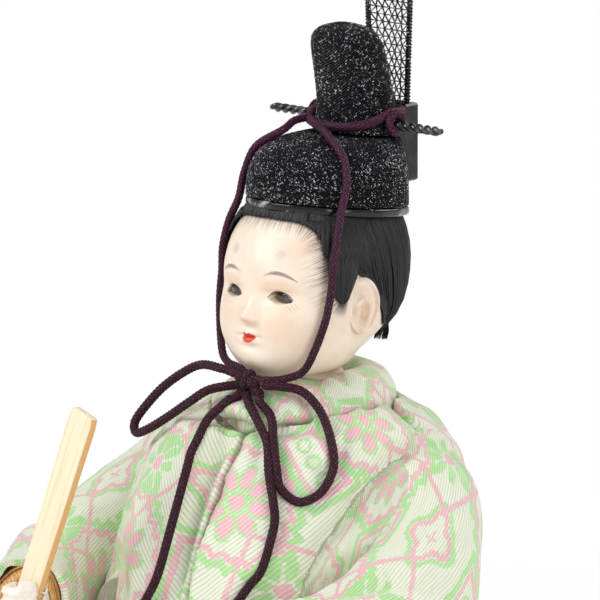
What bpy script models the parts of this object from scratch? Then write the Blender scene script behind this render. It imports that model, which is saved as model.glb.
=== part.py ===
# Seated emperor doll (obina) with a gauze crown, silk hair, a tied chin cord and a flat wooden baton.
# Metres, +Z up. The doll faces -Y, its own left hand is at +X, and it sits on the plane z = 0.

import math

import bmesh
import bpy
from mathutils import Matrix, Vector

# General clearances
GAP = 0.0003
CUT_GAP = 0.0004
OVERRUN = 0.004
MERGE = 0.00001

# Seat and straw body
BOARD_HALF_WIDTH = 0.036
BOARD_FRONT = 0.040
BOARD_BACK = 0.022
BOARD_THICKNESS = 0.008
BOARD_EDGE = 0.0012
CORE_RADIUS = 0.0125
CORE_NECK_RADIUS = 0.0085
NECK_ROOM_RADIUS = 0.0098
COLLAR_TOP_Z = 0.1338
CORE_TOP_DROP = 0.0135
SOCKET_RADIUS = 0.0046
SOCKET_LENGTH = 0.018
PEG_RADIUS = 0.0021
PEG_LENGTH = 0.025
PEG_IN_NECK = 0.009
WIRE_RADIUS = 0.0011
WIRE_ROOT_DROP = 0.0245
WIRE_ROOT_X = 0.002
WIRE_SPACING = 0.009

# Robe
ROBE_HALF_WIDTH = 0.036
ROBE_FRONT = 0.048
ROBE_BACK = 0.033
ROBE_BOTTOM_Z = 0.060
CREASE_OFFSET = 0.003
CREASE_DEPTH = 0.0026
CREASE_SPREAD = 0.0022
SIDE_SEAM_Y = 0.003
SKIRT_HALF_WIDTH = 0.047
SKIRT_BACK = 0.050
SKIRT_FRONT = 0.030
BELT_HEIGHT = 0.0075
BELT_THICKNESS = 0.0014
HAKAMA_HALF_WIDTH = 0.036
HAKAMA_FRONT = 0.043
HAKAMA_BACK = 0.030
HAKAMA_HEIGHT = 0.047
HAKAMA_CENTRE_X = 0.0270
HAKAMA_CENTRE_Y = -0.029
PLEAT_DEPTH = 0.0009
PLEAT_POINTS = 4
SLEEVE_REACH_X = 0.043
SLEEVE_REACH_Y = 0.053
SLEEVE_TOP_Z = 0.1245
SLEEVE_HEIGHT = 0.0800
SLEEVE_HALF_THICKNESS = 0.0145
SLEEVE_LEAN = 0.010
CLOTH_WALL = 0.0014
LINING_WALL = 0.0010
LINING_PROUD = 0.0010

# Head
HEAD_HEIGHT = 0.0457
HEAD_HALF_WIDTH = 0.0180
HEAD_FRONT = 0.0213
HEAD_BACK = 0.0202
HEAD_POWER = 2.4
HEAD_COLUMNS = 30
HEAD_CROWDING = 0.45
CHIN_GAP = 0.0005
NECK_RADIUS = 0.0072
NECK_LENGTH = 0.0125
EYE_HALF_WIDTH = 0.0034
EYE_HALF_HEIGHT = 0.00125
EYE_HALF_DEPTH = 0.0017
EAR_HALF_HEIGHT = 0.0053
EAR_HALF_DEPTH = 0.0029
EAR_HALF_THICKNESS = 0.0014
HAIR_GAP = 0.0005
HAIR_FRONT_THICKNESS = 0.0006
HAIR_SIDE_THICKNESS = 0.0012
HAIR_BACK_THICKNESS = 0.0026
NAPE_LOCK_RADIUS = 0.0013
NAPE_TIE_RADIUS = 0.0017

# Crown
CAP_HALF_WIDTH = 0.0169
CAP_HALF_DEPTH = 0.0190
CAP_CENTRE_Y = 0.0030
CAP_HEIGHT = 0.0143
CAP_WALL = 0.0008
CROWN_TILT = 0.114
RIM_HEIGHT = 0.0014
RIM_WALL = 0.0011
KOJI_HEIGHT = 0.0252
KOJI_HALF_WIDTH = 0.0082
KOJI_HALF_DEPTH = 0.0074
KOJI_BASE_Y = 0.0132
KOJI_LEAN = 0.0045
PIN_LENGTH = 0.050
PIN_RADIUS = 0.0010
PIN_CORE_RADIUS = 0.0007
PIN_RISE = 0.0026
PIN_BEADED_LENGTH = 0.0160
PIN_BEADS = 7
HOLDER_HALF_WIDTH = 0.0075
HOLDER_DEPTH = 0.0034
HOLDER_HEIGHT = 0.0170
HOLDER_WALL = 0.0008
TAIL_LENGTH = 0.072
TAIL_BASE_WIDTH = 0.0100
TAIL_TOP_WIDTH = 0.0150
TAIL_FRAME_WIDTH = 0.0008
TAIL_THICKNESS = 0.0008
NET_THICKNESS = 0.0004
NET_ROWS = 12
NET_COLUMNS = 4
NET_BAR_SHARE = 0.17

# Cord
CORD_RADIUS = 0.0010
KNOT_HALF_WIDTH = 0.0028
KNOT_HALF_DEPTH = 0.0022
KNOT_HALF_HEIGHT = 0.0028
KNOT_Y = -0.0242
KNOT_RISE = 0.0004
PIN_LOOP_RADIUS = 0.0022
PIN_LOOP_CORD_RADIUS = 0.0008

# Hands and baton
HAND_X = 0.0290
HAND_Y = -0.0610
HAND_Z = 0.0870
FIST_HALF_WIDTH = 0.0042
FIST_HALF_LENGTH = 0.0048
FIST_HALF_HEIGHT = 0.0053
FINGER_RADIUS = 0.0014
WRIST_RADIUS = 0.0031
WRIST_LENGTH = 0.0120
BATON_LENGTH = 0.058
BATON_TOP_WIDTH = 0.0074
BATON_FOOT_WIDTH = 0.0062
BATON_THICKNESS = 0.0021
BATON_BELOW_HAND = 0.0120

# Heights that follow from the sizes above
CHIN_Z = COLLAR_TOP_Z + CHIN_GAP
CORE_TOP_Z = COLLAR_TOP_Z - CORE_TOP_DROP
RIM_Z = CHIN_Z + 0.749 * HEAD_HEIGHT
CAP_Z = RIM_Z + RIM_HEIGHT + GAP
KOJI_Z = CAP_Z + CAP_HEIGHT + GAP
PIN_Z = KOJI_Z + PIN_RISE

# Head rows: height, half width, front and back, as shares of the head's sizes
HEAD_ROW_SHARES = [
    (0.000, 0.30, 0.72, 0.355),
    (0.018, 0.50, 0.83, 0.36),
    (0.050, 0.67, 0.905, 0.365),
    (0.094, 0.80, 0.955, 0.39),
    (0.147, 0.90, 0.985, 0.50),
    (0.212, 0.965, 1.0, 0.70),
    (0.278, 1.0, 1.0, 0.84),
    (0.344, 1.0, 0.995, 0.92),
    (0.410, 0.99, 0.985, 0.97),
    (0.486, 0.975, 0.98, 1.0),
    (0.562, 0.955, 0.965, 1.0),
    (0.639, 0.92, 0.90, 0.98),
    (0.715, 0.85, 0.785, 0.94),
    (0.781, 0.77, 0.665, 0.88),
    (0.825, 0.70, 0.580, 0.83),
    (0.890, 0.55, 0.43, 0.67),
    (0.956, 0.32, 0.24, 0.40),
    (0.991, 0.12, 0.10, 0.14),
]

# Face forms: place across and up, height, spread across and spread up, as shares of the head's sizes
FACE_FORM_SHARES = [
    (0.00, 0.292, 0.115, 0.080, 0.030),
    (0.00, 0.335, 0.095, 0.066, 0.045),
    (0.00, 0.400, 0.045, 0.062, 0.050),
    (0.090, 0.284, 0.050, 0.055, 0.020),
    (-0.090, 0.284, 0.050, 0.055, 0.020),
    (0.00, 0.236, 0.052, 0.110, 0.011),
    (0.00, 0.200, 0.052, 0.090, 0.012),
    (0.00, 0.165, -0.020, 0.120, 0.012),
    (0.00, 0.105, 0.070, 0.200, 0.045),
    (0.50, 0.255, 0.055, 0.240, 0.095),
    (-0.50, 0.255, 0.055, 0.240, 0.095),
    (0.39, 0.415, -0.060, 0.210, 0.040),
    (-0.39, 0.415, -0.060, 0.210, 0.040),
    (0.42, 0.500, 0.018, 0.260, 0.040),
    (-0.42, 0.500, 0.018, 0.260, 0.040),
]

# Lower edge of the hair: angle from the front as a share of a half turn, height as a share of the head
HAIRLINE_SHARES = [
    (0.000, 0.776),
    (0.190, 0.760),
    (0.270, 0.690),
    (0.330, 0.570),
    (0.390, 0.515),
    (0.470, 0.495),
    (0.560, 0.490),
    (0.610, 0.400),
    (0.680, 0.280),
    (0.780, 0.225),
    (0.900, 0.200),
    (1.000, 0.190),
]

# Robe body rows: height, half width, front and back, as shares of the robe's sizes
ROBE_ROW_SHARES = [
    (0.000, 0.88, 0.79, 0.90),
    (0.080, 0.93, 0.93, 0.95),
    (0.200, 0.97, 1.0, 1.0),
    (0.380, 0.97, 1.0, 1.0),
    (0.520, 0.96, 0.935, 0.97),
    (0.630, 0.95, 0.865, 0.93),
    (0.725, 0.93, 0.78, 0.88),
    (0.810, 0.88, 0.70, 0.80),
    (0.880, 0.77, 0.60, 0.69),
    (0.935, 0.62, 0.49, 0.57),
    (0.978, 0.46, 0.38, 0.45),
    (1.000, 0.36, 0.31, 0.37),
]

# Collar roll section: half width, front and back as shares of the robe's, height as a share of the roll
COLLAR_HEIGHT = 0.0120
COLLAR_ROW_SHARES = [
    (0.232, 0.182, 0.252, 0.00),
    (0.230, 0.180, 0.250, 0.76),
    (0.265, 0.220, 0.290, 0.95),
    (0.335, 0.312, 0.350, 1.00),
    (0.430, 0.427, 0.440, 0.89),
    (0.508, 0.525, 0.515, 0.64),
    (0.517, 0.550, 0.524, 0.39),
    (0.472, 0.512, 0.480, 0.17),
    (0.333, 0.291, 0.364, 0.00),
]

# Sleeve path: across and forward as shares of the sleeve's reach, top and bottom as shares of its drop,
# half thickness as a share, outward lean of the lower edge as a share
SLEEVE_ROW_SHARES = [
    (0.60, -0.08, 0.000, 0.330, 0.76, 0.0),
    (0.81, 0.07, 0.055, 0.480, 0.93, 0.2),
    (0.95, 0.28, 0.160, 0.720, 1.00, 0.5),
    (0.99, 0.54, 0.255, 0.880, 0.99, 0.8),
    (0.94, 0.79, 0.320, 0.975, 0.95, 1.0),
    (0.81, 1.00, 0.355, 1.000, 0.92, 1.0),
]

# Crown cap rows: height, half width, half depth as shares of the cap's, and centre as a share of its depth
CAP_ROW_SHARES = [
    (0.00, 1.000, 1.000, 0.000),
    (0.20, 1.000, 0.995, 0.005),
    (0.42, 0.985, 0.975, 0.020),
    (0.62, 0.940, 0.930, 0.060),
    (0.80, 0.860, 0.845, 0.145),
    (0.92, 0.740, 0.715, 0.270),
    (1.00, 0.560, 0.545, 0.430),
]

# Rim section: inward from its outer face and down from its top, as shares of its wall and height
RIM_SECTION_SHARES = [(1.0, 0.0), (0.2, 0.0), (0.0, 0.5), (0.2, 1.0), (1.0, 1.0)]

# Topknot cover rows: height, half width, half depth and forward lean, as shares
KOJI_ROW_SHARES = [
    (0.00, 1.07, 1.14, 0.00),
    (0.10, 1.02, 1.05, 0.00),
    (0.26, 1.00, 1.00, 0.03),
    (0.53, 0.98, 0.97, 0.33),
    (0.79, 0.94, 0.92, 0.66),
    (0.90, 0.82, 0.80, 0.84),
    (0.965, 0.58, 0.56, 0.93),
    (1.00, 0.20, 0.20, 0.97),
]

# Cord routes in metres: name, way out of the knot, points chosen by hand, way back into the knot
CORD_SPACING = 0.0042
CHIN_ROUTE = [
    (0.0036, 0.0040, 0.1877), (0.0056, 0.0008, 0.1873), (0.0086, -0.0030, 0.1860),
    (0.0137, -0.0061, 0.1822), (0.0157, -0.0077, 0.1765), (0.0157, -0.0095, 0.1712),
    (0.0167, -0.0116, 0.1662), (0.0170, -0.0132, 0.1608), (0.0169, -0.0136, 0.1557),
    (0.0167, -0.0143, 0.1520), (0.0163, -0.0150, 0.1485), (0.0147, -0.0165, 0.1424),
    (0.0120, -0.0176, 0.1384), (0.0088, -0.0190, 0.1372), (0.0054, -0.0210, 0.1375),
]
CORD_ROUTES = [
    ("chin_cord_left", None, CHIN_ROUTE, (50.0, 1.4)),
    ("chin_cord_right", None, [(-x, y, z) for x, y, z in CHIN_ROUTE], (130.0, 1.4)),
    ("bow_loop_left", (12.0, 0.2), [
        (0.0064, -0.0231, 0.1347), (0.0092, -0.0205, 0.1343), (0.0125, -0.0178, 0.1332),
        (0.0173, -0.0176, 0.1296), (0.0230, -0.0206, 0.1246), (0.0262, -0.0234, 0.1195),
        (0.0260, -0.0272, 0.1147), (0.0231, -0.0309, 0.1128), (0.0194, -0.0326, 0.1155),
        (0.0171, -0.0314, 0.1193), (0.0135, -0.0284, 0.1245), (0.0097, -0.0250, 0.1285),
        (0.0062, -0.0246, 0.1312),
    ], (-30.0, -0.6)),
    ("bow_tail_left", (-74.0, -1.6), [
        (0.0022, -0.0270, 0.1297), (0.0061, -0.0281, 0.1275), (0.0102, -0.0298, 0.1240),
        (0.0137, -0.0331, 0.1190), (0.0153, -0.0343, 0.1160), (0.0172, -0.0349, 0.1130),
        (0.0193, -0.0356, 0.1092), (0.0202, -0.0372, 0.1052), (0.0202, -0.0396, 0.0990),
        (0.0186, -0.0419, 0.0955), (0.0162, -0.0446, 0.0905), (0.0142, -0.0462, 0.0865),
        (0.0130, -0.0473, 0.0815), (0.0124, -0.0475, 0.0765), (0.0122, -0.0470, 0.0725),
    ], None),
    ("bow_tail_right", (-119.0, -1.3), [
        (-0.0044, -0.0254, 0.1306), (-0.0070, -0.0262, 0.1283), (-0.0081, -0.0284, 0.1260),
        (-0.0079, -0.0319, 0.1226), (-0.0078, -0.0342, 0.1202), (-0.0073, -0.0360, 0.1176),
        (-0.0064, -0.0398, 0.1114), (-0.0057, -0.0440, 0.1034), (-0.0061, -0.0472, 0.0950),
        (-0.0096, -0.0482, 0.0882), (-0.0134, -0.0476, 0.0818), (-0.0152, -0.0469, 0.0765),
        (-0.0158, -0.0463, 0.0725),
    ], None),
    ("bow_loop_right", (157.0, -0.6), [
        (-0.0060, -0.0237, 0.1368), (-0.0120, -0.0230, 0.1367), (-0.0170, -0.0230, 0.1346),
        (-0.0230, -0.0238, 0.1303), (-0.0282, -0.0243, 0.1250), (-0.0305, -0.0247, 0.1216),
        (-0.0295, -0.0252, 0.1196), (-0.0255, -0.0257, 0.1211), (-0.0195, -0.0260, 0.1246),
        (-0.0130, -0.0262, 0.1288), (-0.0082, -0.0250, 0.1320),
    ], (199.0, 0.4)),
]

MODEL = bpy.data.collections.new("hina_doll")
CUTTERS = bpy.data.collections.new("cutters")


def reset_scene():
    for thing in list(bpy.data.objects):
        bpy.data.objects.remove(thing, do_unlink=True)
    for group in (MODEL, CUTTERS):
        bpy.context.scene.collection.children.link(group)


def material(name, colour, roughness, metallic=0.0):
    made = bpy.data.materials.get(name)
    if made is None:
        made = bpy.data.materials.new(name)
        made.use_nodes = True
        shader = made.node_tree.nodes["Principled BSDF"]
        shader.inputs["Base Color"].default_value = (*colour, 1.0)
        shader.inputs["Roughness"].default_value = roughness
        shader.inputs["Metallic"].default_value = metallic
        made.diffuse_color = (*colour, 1.0)
    return made


def robe_silk():
    return material("robe_silk", (0.80, 0.87, 0.72), 0.6)


def black_gauze():
    return material("black_gauze", (0.02, 0.018, 0.024), 0.45)


def black_lacquer():
    return material("black_lacquer", (0.01, 0.01, 0.012), 0.15)


def doll_skin():
    return material("doll_skin", (0.93, 0.83, 0.72), 0.35)


def hair_silk():
    return material("hair_silk", (0.01, 0.01, 0.013), 0.35)


def cord_silk():
    return material("cord_silk", (0.06, 0.015, 0.035), 0.7)


def eye_glass():
    return material("eye_glass", (0.03, 0.02, 0.02), 0.08)


def gold_weave():
    return material("gold_weave", (0.75, 0.48, 0.20), 0.55)


def pale_wood():
    return material("pale_wood", (0.90, 0.78, 0.55), 0.5)


def straw():
    return material("straw", (0.72, 0.58, 0.32), 0.8)


def iron_wire():
    return material("iron_wire", (0.30, 0.30, 0.31), 0.4, 1.0)


def white_silk():
    return material("white_silk", (0.88, 0.86, 0.82), 0.6)


def belt_black():
    return material("belt_black", (0.02, 0.02, 0.02), 0.3)


def blended(rows, place):
    """Row of a table at a place, with a smooth curve through the rows."""
    last = len(rows) - 1
    index = 0
    while index < last - 1 and rows[index + 1][0] < place:
        index += 1
    low, high = rows[index], rows[index + 1]
    before, after = rows[max(index - 1, 0)], rows[min(index + 2, last)]
    span = high[0] - low[0]
    t = min(max((place - low[0]) / span, 0.0), 1.0)
    values = []
    for column in range(1, len(low)):
        slope_low = (high[column] - before[column]) / (high[0] - before[0])
        slope_high = (after[column] - low[column]) / (after[0] - low[0])
        t2, t3 = t * t, t * t * t
        value = (2 * t3 - 3 * t2 + 1) * low[column] + (t3 - 2 * t2 + t) * span * slope_low
        value += (3 * t2 - 2 * t3) * high[column] + (t3 - t2) * span * slope_high
        values.append(value)
    return values


def place_rows(rows):
    """The rows numbered evenly from 0 to 1, ahead of their own values."""
    return [(index / (len(rows) - 1), *row) for index, row in enumerate(rows)]


def rounded(value, power):
    return math.copysign(abs(value) ** (2 / power), value)


def oval(centre, half_width, front, back, z, count, power=2.0, tilt=0.0, crowding=0.0):
    """A level ring, deeper in front than behind, that may slope along Y and crowd its points in front."""
    points = []
    for step in range(count):
        even = 2 * step / count - 1
        angle = math.pi * (even * (1 - crowding) + crowding * even ** 3) - math.pi / 2
        across, along = rounded(math.cos(angle), power), rounded(math.sin(angle), power)
        y = (back if along > 0 else front) * along
        points.append(Vector((half_width * across, centre + y, z - tilt * y)))
    return points


def new_object(name, mesh, look, group=MODEL):
    made = bpy.data.objects.new(name, mesh)
    group.objects.link(made)
    mesh.materials.clear()
    mesh.materials.append(look)
    return made


def smooth(thing, angle=0.9):
    thing.data.shade_smooth()
    thing.data.set_sharp_from_angle(angle=angle)


def loft(name, rings, look, caps=True, loop=False, group=MODEL):
    """A skin through rings of equally many points, capped or closed into a loop."""
    bm = bmesh.new()
    rows = [[bm.verts.new(point) for point in ring] for ring in rings]
    count = len(rings[0])
    pairs = list(zip(rows, rows[1:]))
    if loop:
        pairs.append((rows[-1], rows[0]))
    for low, high in pairs:
        for step in range(count):
            other = (step + 1) % count
            bm.faces.new((low[step], low[other], high[other], high[step]))
    if caps and not loop:
        bm.faces.new(list(reversed(rows[0])))
        bm.faces.new(rows[-1])
    bmesh.ops.recalc_face_normals(bm, faces=bm.faces)
    mesh = bpy.data.meshes.new(name)
    bm.to_mesh(mesh)
    bm.free()
    made = new_object(name, mesh, look, group)
    smooth(made)
    return made


def mesh_object(name, build, look, group=MODEL, matrix=None):
    """An object from a function that fills a bmesh with a primitive."""
    bm = bmesh.new()
    build(bm)
    if matrix is not None:
        bmesh.ops.transform(bm, matrix=matrix, verts=bm.verts)
    mesh = bpy.data.meshes.new(name)
    bm.to_mesh(mesh)
    bm.free()
    made = new_object(name, mesh, look, group)
    smooth(made)
    return made


def ball(name, centre, half_sizes, look, group=MODEL, turn=None, steps=16):
    matrix = Matrix.Translation(centre) @ (turn or Matrix.Identity(4)) @ Matrix.Diagonal((*half_sizes, 1.0))
    return mesh_object(
        name,
        lambda bm: bmesh.ops.create_uvsphere(bm, u_segments=steps, v_segments=steps // 2, radius=1.0),
        look, group, matrix,
    )


def rod(name, start, end, radius, look, group=MODEL, steps=16, end_radius=None):
    start, end = Vector(start), Vector(end)
    turn = (end - start).to_track_quat("Z", "Y").to_matrix().to_4x4()
    matrix = Matrix.Translation((start + end) / 2) @ turn
    return mesh_object(
        name,
        lambda bm: bmesh.ops.create_cone(
            bm, cap_ends=True, segments=steps, radius1=radius,
            radius2=radius if end_radius is None else end_radius, depth=(end - start).length),
        look, group, matrix,
    )


def block(name, low, high, look, group=MODEL, turn=None):
    low, high = Vector(low), Vector(high)
    size = high - low
    turn = turn or Matrix.Identity(4)
    matrix = Matrix.Translation((low + high) / 2) @ turn @ Matrix.Diagonal((*size, 1.0))
    return mesh_object(name, lambda bm: bmesh.ops.create_cube(bm, size=1.0), look, group, matrix)


def settled(thing):
    """The object with its modifiers worked into its mesh."""
    bpy.context.view_layer.update()
    graph = bpy.context.evaluated_depsgraph_get()
    mesh = bpy.data.meshes.new_from_object(thing.evaluated_get(graph))
    thing.modifiers.clear()
    old = thing.data
    thing.data = mesh
    if old.users == 0 and isinstance(old, bpy.types.Mesh):
        bpy.data.meshes.remove(old)
    return thing


def pivoted(thing, place):
    """The object with its origin moved to a place on its joint's axis."""
    thing.data.transform(Matrix.Translation(-Vector(place)))
    thing.location = place
    return thing


def hidden(thing):
    thing.hide_render = True
    thing.display_type = "WIRE"
    for group in list(thing.users_collection):
        group.objects.unlink(thing)
    CUTTERS.objects.link(thing)
    return thing


def swollen(thing, gap=CUT_GAP):
    """A hidden copy of a solid, grown by a clearance all round."""
    mesh = thing.data.copy()
    bm = bmesh.new()
    bm.from_mesh(mesh)
    bm.normal_update()
    moves = [vert.normal * gap * min(vert.calc_shell_factor(), 1.6) for vert in bm.verts]
    for vert, move in zip(bm.verts, moves):
        vert.co += move
    bm.to_mesh(mesh)
    bm.free()
    grown = bpy.data.objects.new(thing.name + "_clearance", mesh)
    CUTTERS.objects.link(grown)
    return hidden(grown)


def combine(thing, others, operation="DIFFERENCE", solver="EXACT"):
    for other in others:
        step = thing.modifiers.new(other.name, "BOOLEAN")
        step.operation = operation
        step.solver = solver
        step.object = other
    return settled(thing)


def joined(thing, others):
    for other in others:
        hidden(other)
    return combine(thing, others, "UNION")


def largest_only(thing):
    """Keeps the largest connected body, without the crumbs that a cut can leave."""
    bm = bmesh.new()
    bm.from_mesh(thing.data)
    left = set(bm.verts)
    bodies = []
    while left:
        queue = [left.pop()]
        body = set(queue)
        while queue:
            for edge in queue.pop().link_edges:
                for vert in edge.verts:
                    if vert in left:
                        left.discard(vert)
                        body.add(vert)
                        queue.append(vert)
        bodies.append(body)
    bodies.sort(key=len)
    for body in bodies[:-1]:
        bmesh.ops.delete(bm, geom=list(body), context="VERTS")
    bm.to_mesh(thing.data)
    bm.free()
    return thing


def tube(name, points, radius, look, group=MODEL, resolution=2, cyclic=False):
    """A round cord or wire along a line of points, with closed ends."""
    line = bpy.data.curves.new(name, "CURVE")
    line.dimensions = "3D"
    spline = line.splines.new("POLY")
    spline.points.add(len(points) - 1)
    for place, point in zip(spline.points, points):
        place.co = (*point, 1.0)
    spline.use_cyclic_u = cyclic
    line.bevel_depth = radius
    line.bevel_resolution = resolution
    line.use_fill_caps = not cyclic
    shape = bpy.data.objects.new(name, line)
    group.objects.link(shape)
    bpy.context.view_layer.update()
    graph = bpy.context.evaluated_depsgraph_get()
    mesh = bpy.data.meshes.new_from_object(shape.evaluated_get(graph))
    bpy.data.objects.remove(shape)
    bpy.data.curves.remove(line)
    bm = bmesh.new()
    bm.from_mesh(mesh)
    bmesh.ops.remove_doubles(bm, verts=bm.verts, dist=MERGE)
    bmesh.ops.recalc_face_normals(bm, faces=bm.faces)
    bm.to_mesh(mesh)
    bm.free()
    made = new_object(name, mesh, look, group)
    smooth(made)
    return made


def curve_through(points, spacing):
    """Evenly spaced points on a smooth curve through the points given."""
    points = [Vector(point) for point in points]
    fine = []
    for index in range(len(points) - 1):
        before = points[max(index - 1, 0)]
        low, high = points[index], points[index + 1]
        after = points[min(index + 2, len(points) - 1)]
        for part in range(12):
            t = part / 12
            fine.append(0.5 * (2 * low + (high - before) * t
                               + (2 * before - 5 * low + 4 * high - after) * t ** 2
                               + (3 * low - before - 3 * high + after) * t ** 3))
    fine.append(points[-1])
    total = sum((b - a).length for a, b in zip(fine, fine[1:]))
    count = max(3, round(total / spacing))
    result = [fine[0]]
    travelled, target = 0.0, total / count
    for a, b in zip(fine, fine[1:]):
        length = (b - a).length
        while travelled + length >= target - MERGE and len(result) < count:
            result.append(a.lerp(b, (target - travelled) / length))
            target += total / count
        travelled += length
    result.append(fine[-1])
    return result


def head_point(turn, height, outward=0.0):
    """A point on the head, at an angle from the front and a share of its height, moved outward."""
    half_width, front, back = blended(HEAD_ROW_SHARES, height)
    across, along = rounded(math.sin(turn), HEAD_POWER), rounded(-math.cos(turn), HEAD_POWER)
    depth = back * HEAD_BACK if along > 0 else front * HEAD_FRONT
    x, y = half_width * HEAD_HALF_WIDTH * across, depth * along
    if along < 0:
        facing = min(1.0, -along * 1.6)
        for at_x, at_z, rise, spread_x, spread_z in FACE_FORM_SHARES:
            dx = (x / HEAD_HALF_WIDTH - at_x) / spread_x
            dz = (height - at_z) / spread_z
            y -= facing * rise * HEAD_FRONT * math.exp(-0.5 * (dx * dx + dz * dz))
    flat = Vector((x, y, 0.0))
    if flat.length > 0:
        flat += flat.normalized() * outward
    return Vector((flat.x, flat.y, CHIN_Z + height * HEAD_HEIGHT))


def head_turns(count, crowding):
    """Angles round the head, closer together over the face."""
    turns = []
    for step in range(count):
        even = 2 * step / count - 1
        turns.append(math.pi * (even * (1 - crowding) + crowding * even ** 3))
    return turns


def make_seat():
    board = block("seat_board", (-BOARD_HALF_WIDTH, -BOARD_FRONT, 0.0),
                  (BOARD_HALF_WIDTH, BOARD_BACK, BOARD_THICKNESS), pale_wood())
    edge = board.modifiers.new("edge", "BEVEL")
    edge.width = BOARD_EDGE
    edge.segments = 1
    return settled(board)


def make_core():
    foot = BOARD_THICKNESS + GAP
    shoulder = CORE_TOP_Z - 2 * CORE_NECK_RADIUS
    neck_foot = CORE_TOP_Z - CORE_NECK_RADIUS
    rings = [
        oval(0.0, CORE_RADIUS, CORE_RADIUS, CORE_RADIUS, foot, 20),
        oval(0.0, CORE_RADIUS, CORE_RADIUS, CORE_RADIUS, shoulder, 20),
        oval(0.0, CORE_NECK_RADIUS, CORE_NECK_RADIUS, CORE_NECK_RADIUS, neck_foot, 20),
        oval(0.0, CORE_NECK_RADIUS, CORE_NECK_RADIUS, CORE_NECK_RADIUS, CORE_TOP_Z, 20),
    ]
    core = loft("straw_body", rings, straw())
    bottom = CORE_TOP_Z - SOCKET_LENGTH
    above = (0, 0, CORE_TOP_Z + OVERRUN)
    bore = hidden(rod("socket_bore", (0, 0, bottom), above, SOCKET_RADIUS + GAP, straw()))
    wire_z = CORE_TOP_Z - WIRE_ROOT_DROP
    reach = CORE_RADIUS + OVERRUN
    across = rod("wire_bore", (-reach, 0, wire_z), (reach, 0, wire_z), WIRE_RADIUS + GAP, straw(), steps=10)
    hidden(across)
    combine(core, [bore, across])
    socket = rod("neck_socket", (0, 0, bottom + GAP), (0, 0, CORE_TOP_Z), SOCKET_RADIUS, pale_wood())
    hole = hidden(rod("peg_bore", (0, 0, bottom + GAP + SOCKET_RADIUS - PEG_RADIUS),
                      (0, 0, CORE_TOP_Z + OVERRUN), PEG_RADIUS + GAP, straw()))
    combine(socket, [hole])
    return core


def wrist_frame(side):
    """The hand's place and its forearm direction on one side."""
    mouth = sleeve_centre(1.0, side)
    back = sleeve_centre(0.8, side)
    place = Vector((side * HAND_X, HAND_Y, HAND_Z))
    forward = Vector((mouth.x - back.x, mouth.y - back.y, 0.0)).normalized()
    return place, forward


def sleeve_row(place):
    across, forward, top, bottom, thick, lean = blended(place_rows(SLEEVE_ROW_SHARES), place)
    return (across * SLEEVE_REACH_X, -forward * SLEEVE_REACH_Y, SLEEVE_TOP_Z - top * SLEEVE_HEIGHT,
            SLEEVE_TOP_Z - bottom * SLEEVE_HEIGHT, thick * SLEEVE_HALF_THICKNESS, lean * SLEEVE_LEAN)


def sleeve_centre(place, side):
    x, y, top, bottom = sleeve_row(place)[:4]
    return Vector((side * x, y, (top + bottom) / 2))


def sleeve_ring(place, side, count, inward=0.0):
    x, y, top, bottom, thick, lean = sleeve_row(place)
    step = 0.01
    ahead, behind = sleeve_centre(min(place + step, 1.0), side), sleeve_centre(max(place - step, 0.0), side)
    along = Vector((ahead.x - behind.x, ahead.y - behind.y, 0.0)).normalized()
    outward = Vector((-along.y, along.x, 0.0)) * side
    top, bottom = top - inward, bottom + inward
    middle, half = (top + bottom) / 2, (top - bottom) / 2
    points = []
    for index in range(count):
        angle = 2 * math.pi * index / count
        level = rounded(math.sin(angle), 2.3)
        wide = (thick * (0.80 + 0.20 * level) - inward) * math.cos(angle)
        offset = outward * (wide + lean * (1 - level) / 2)
        points.append(Vector((side * x + offset.x, y + offset.y, middle + half * level)))
    return points


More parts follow.
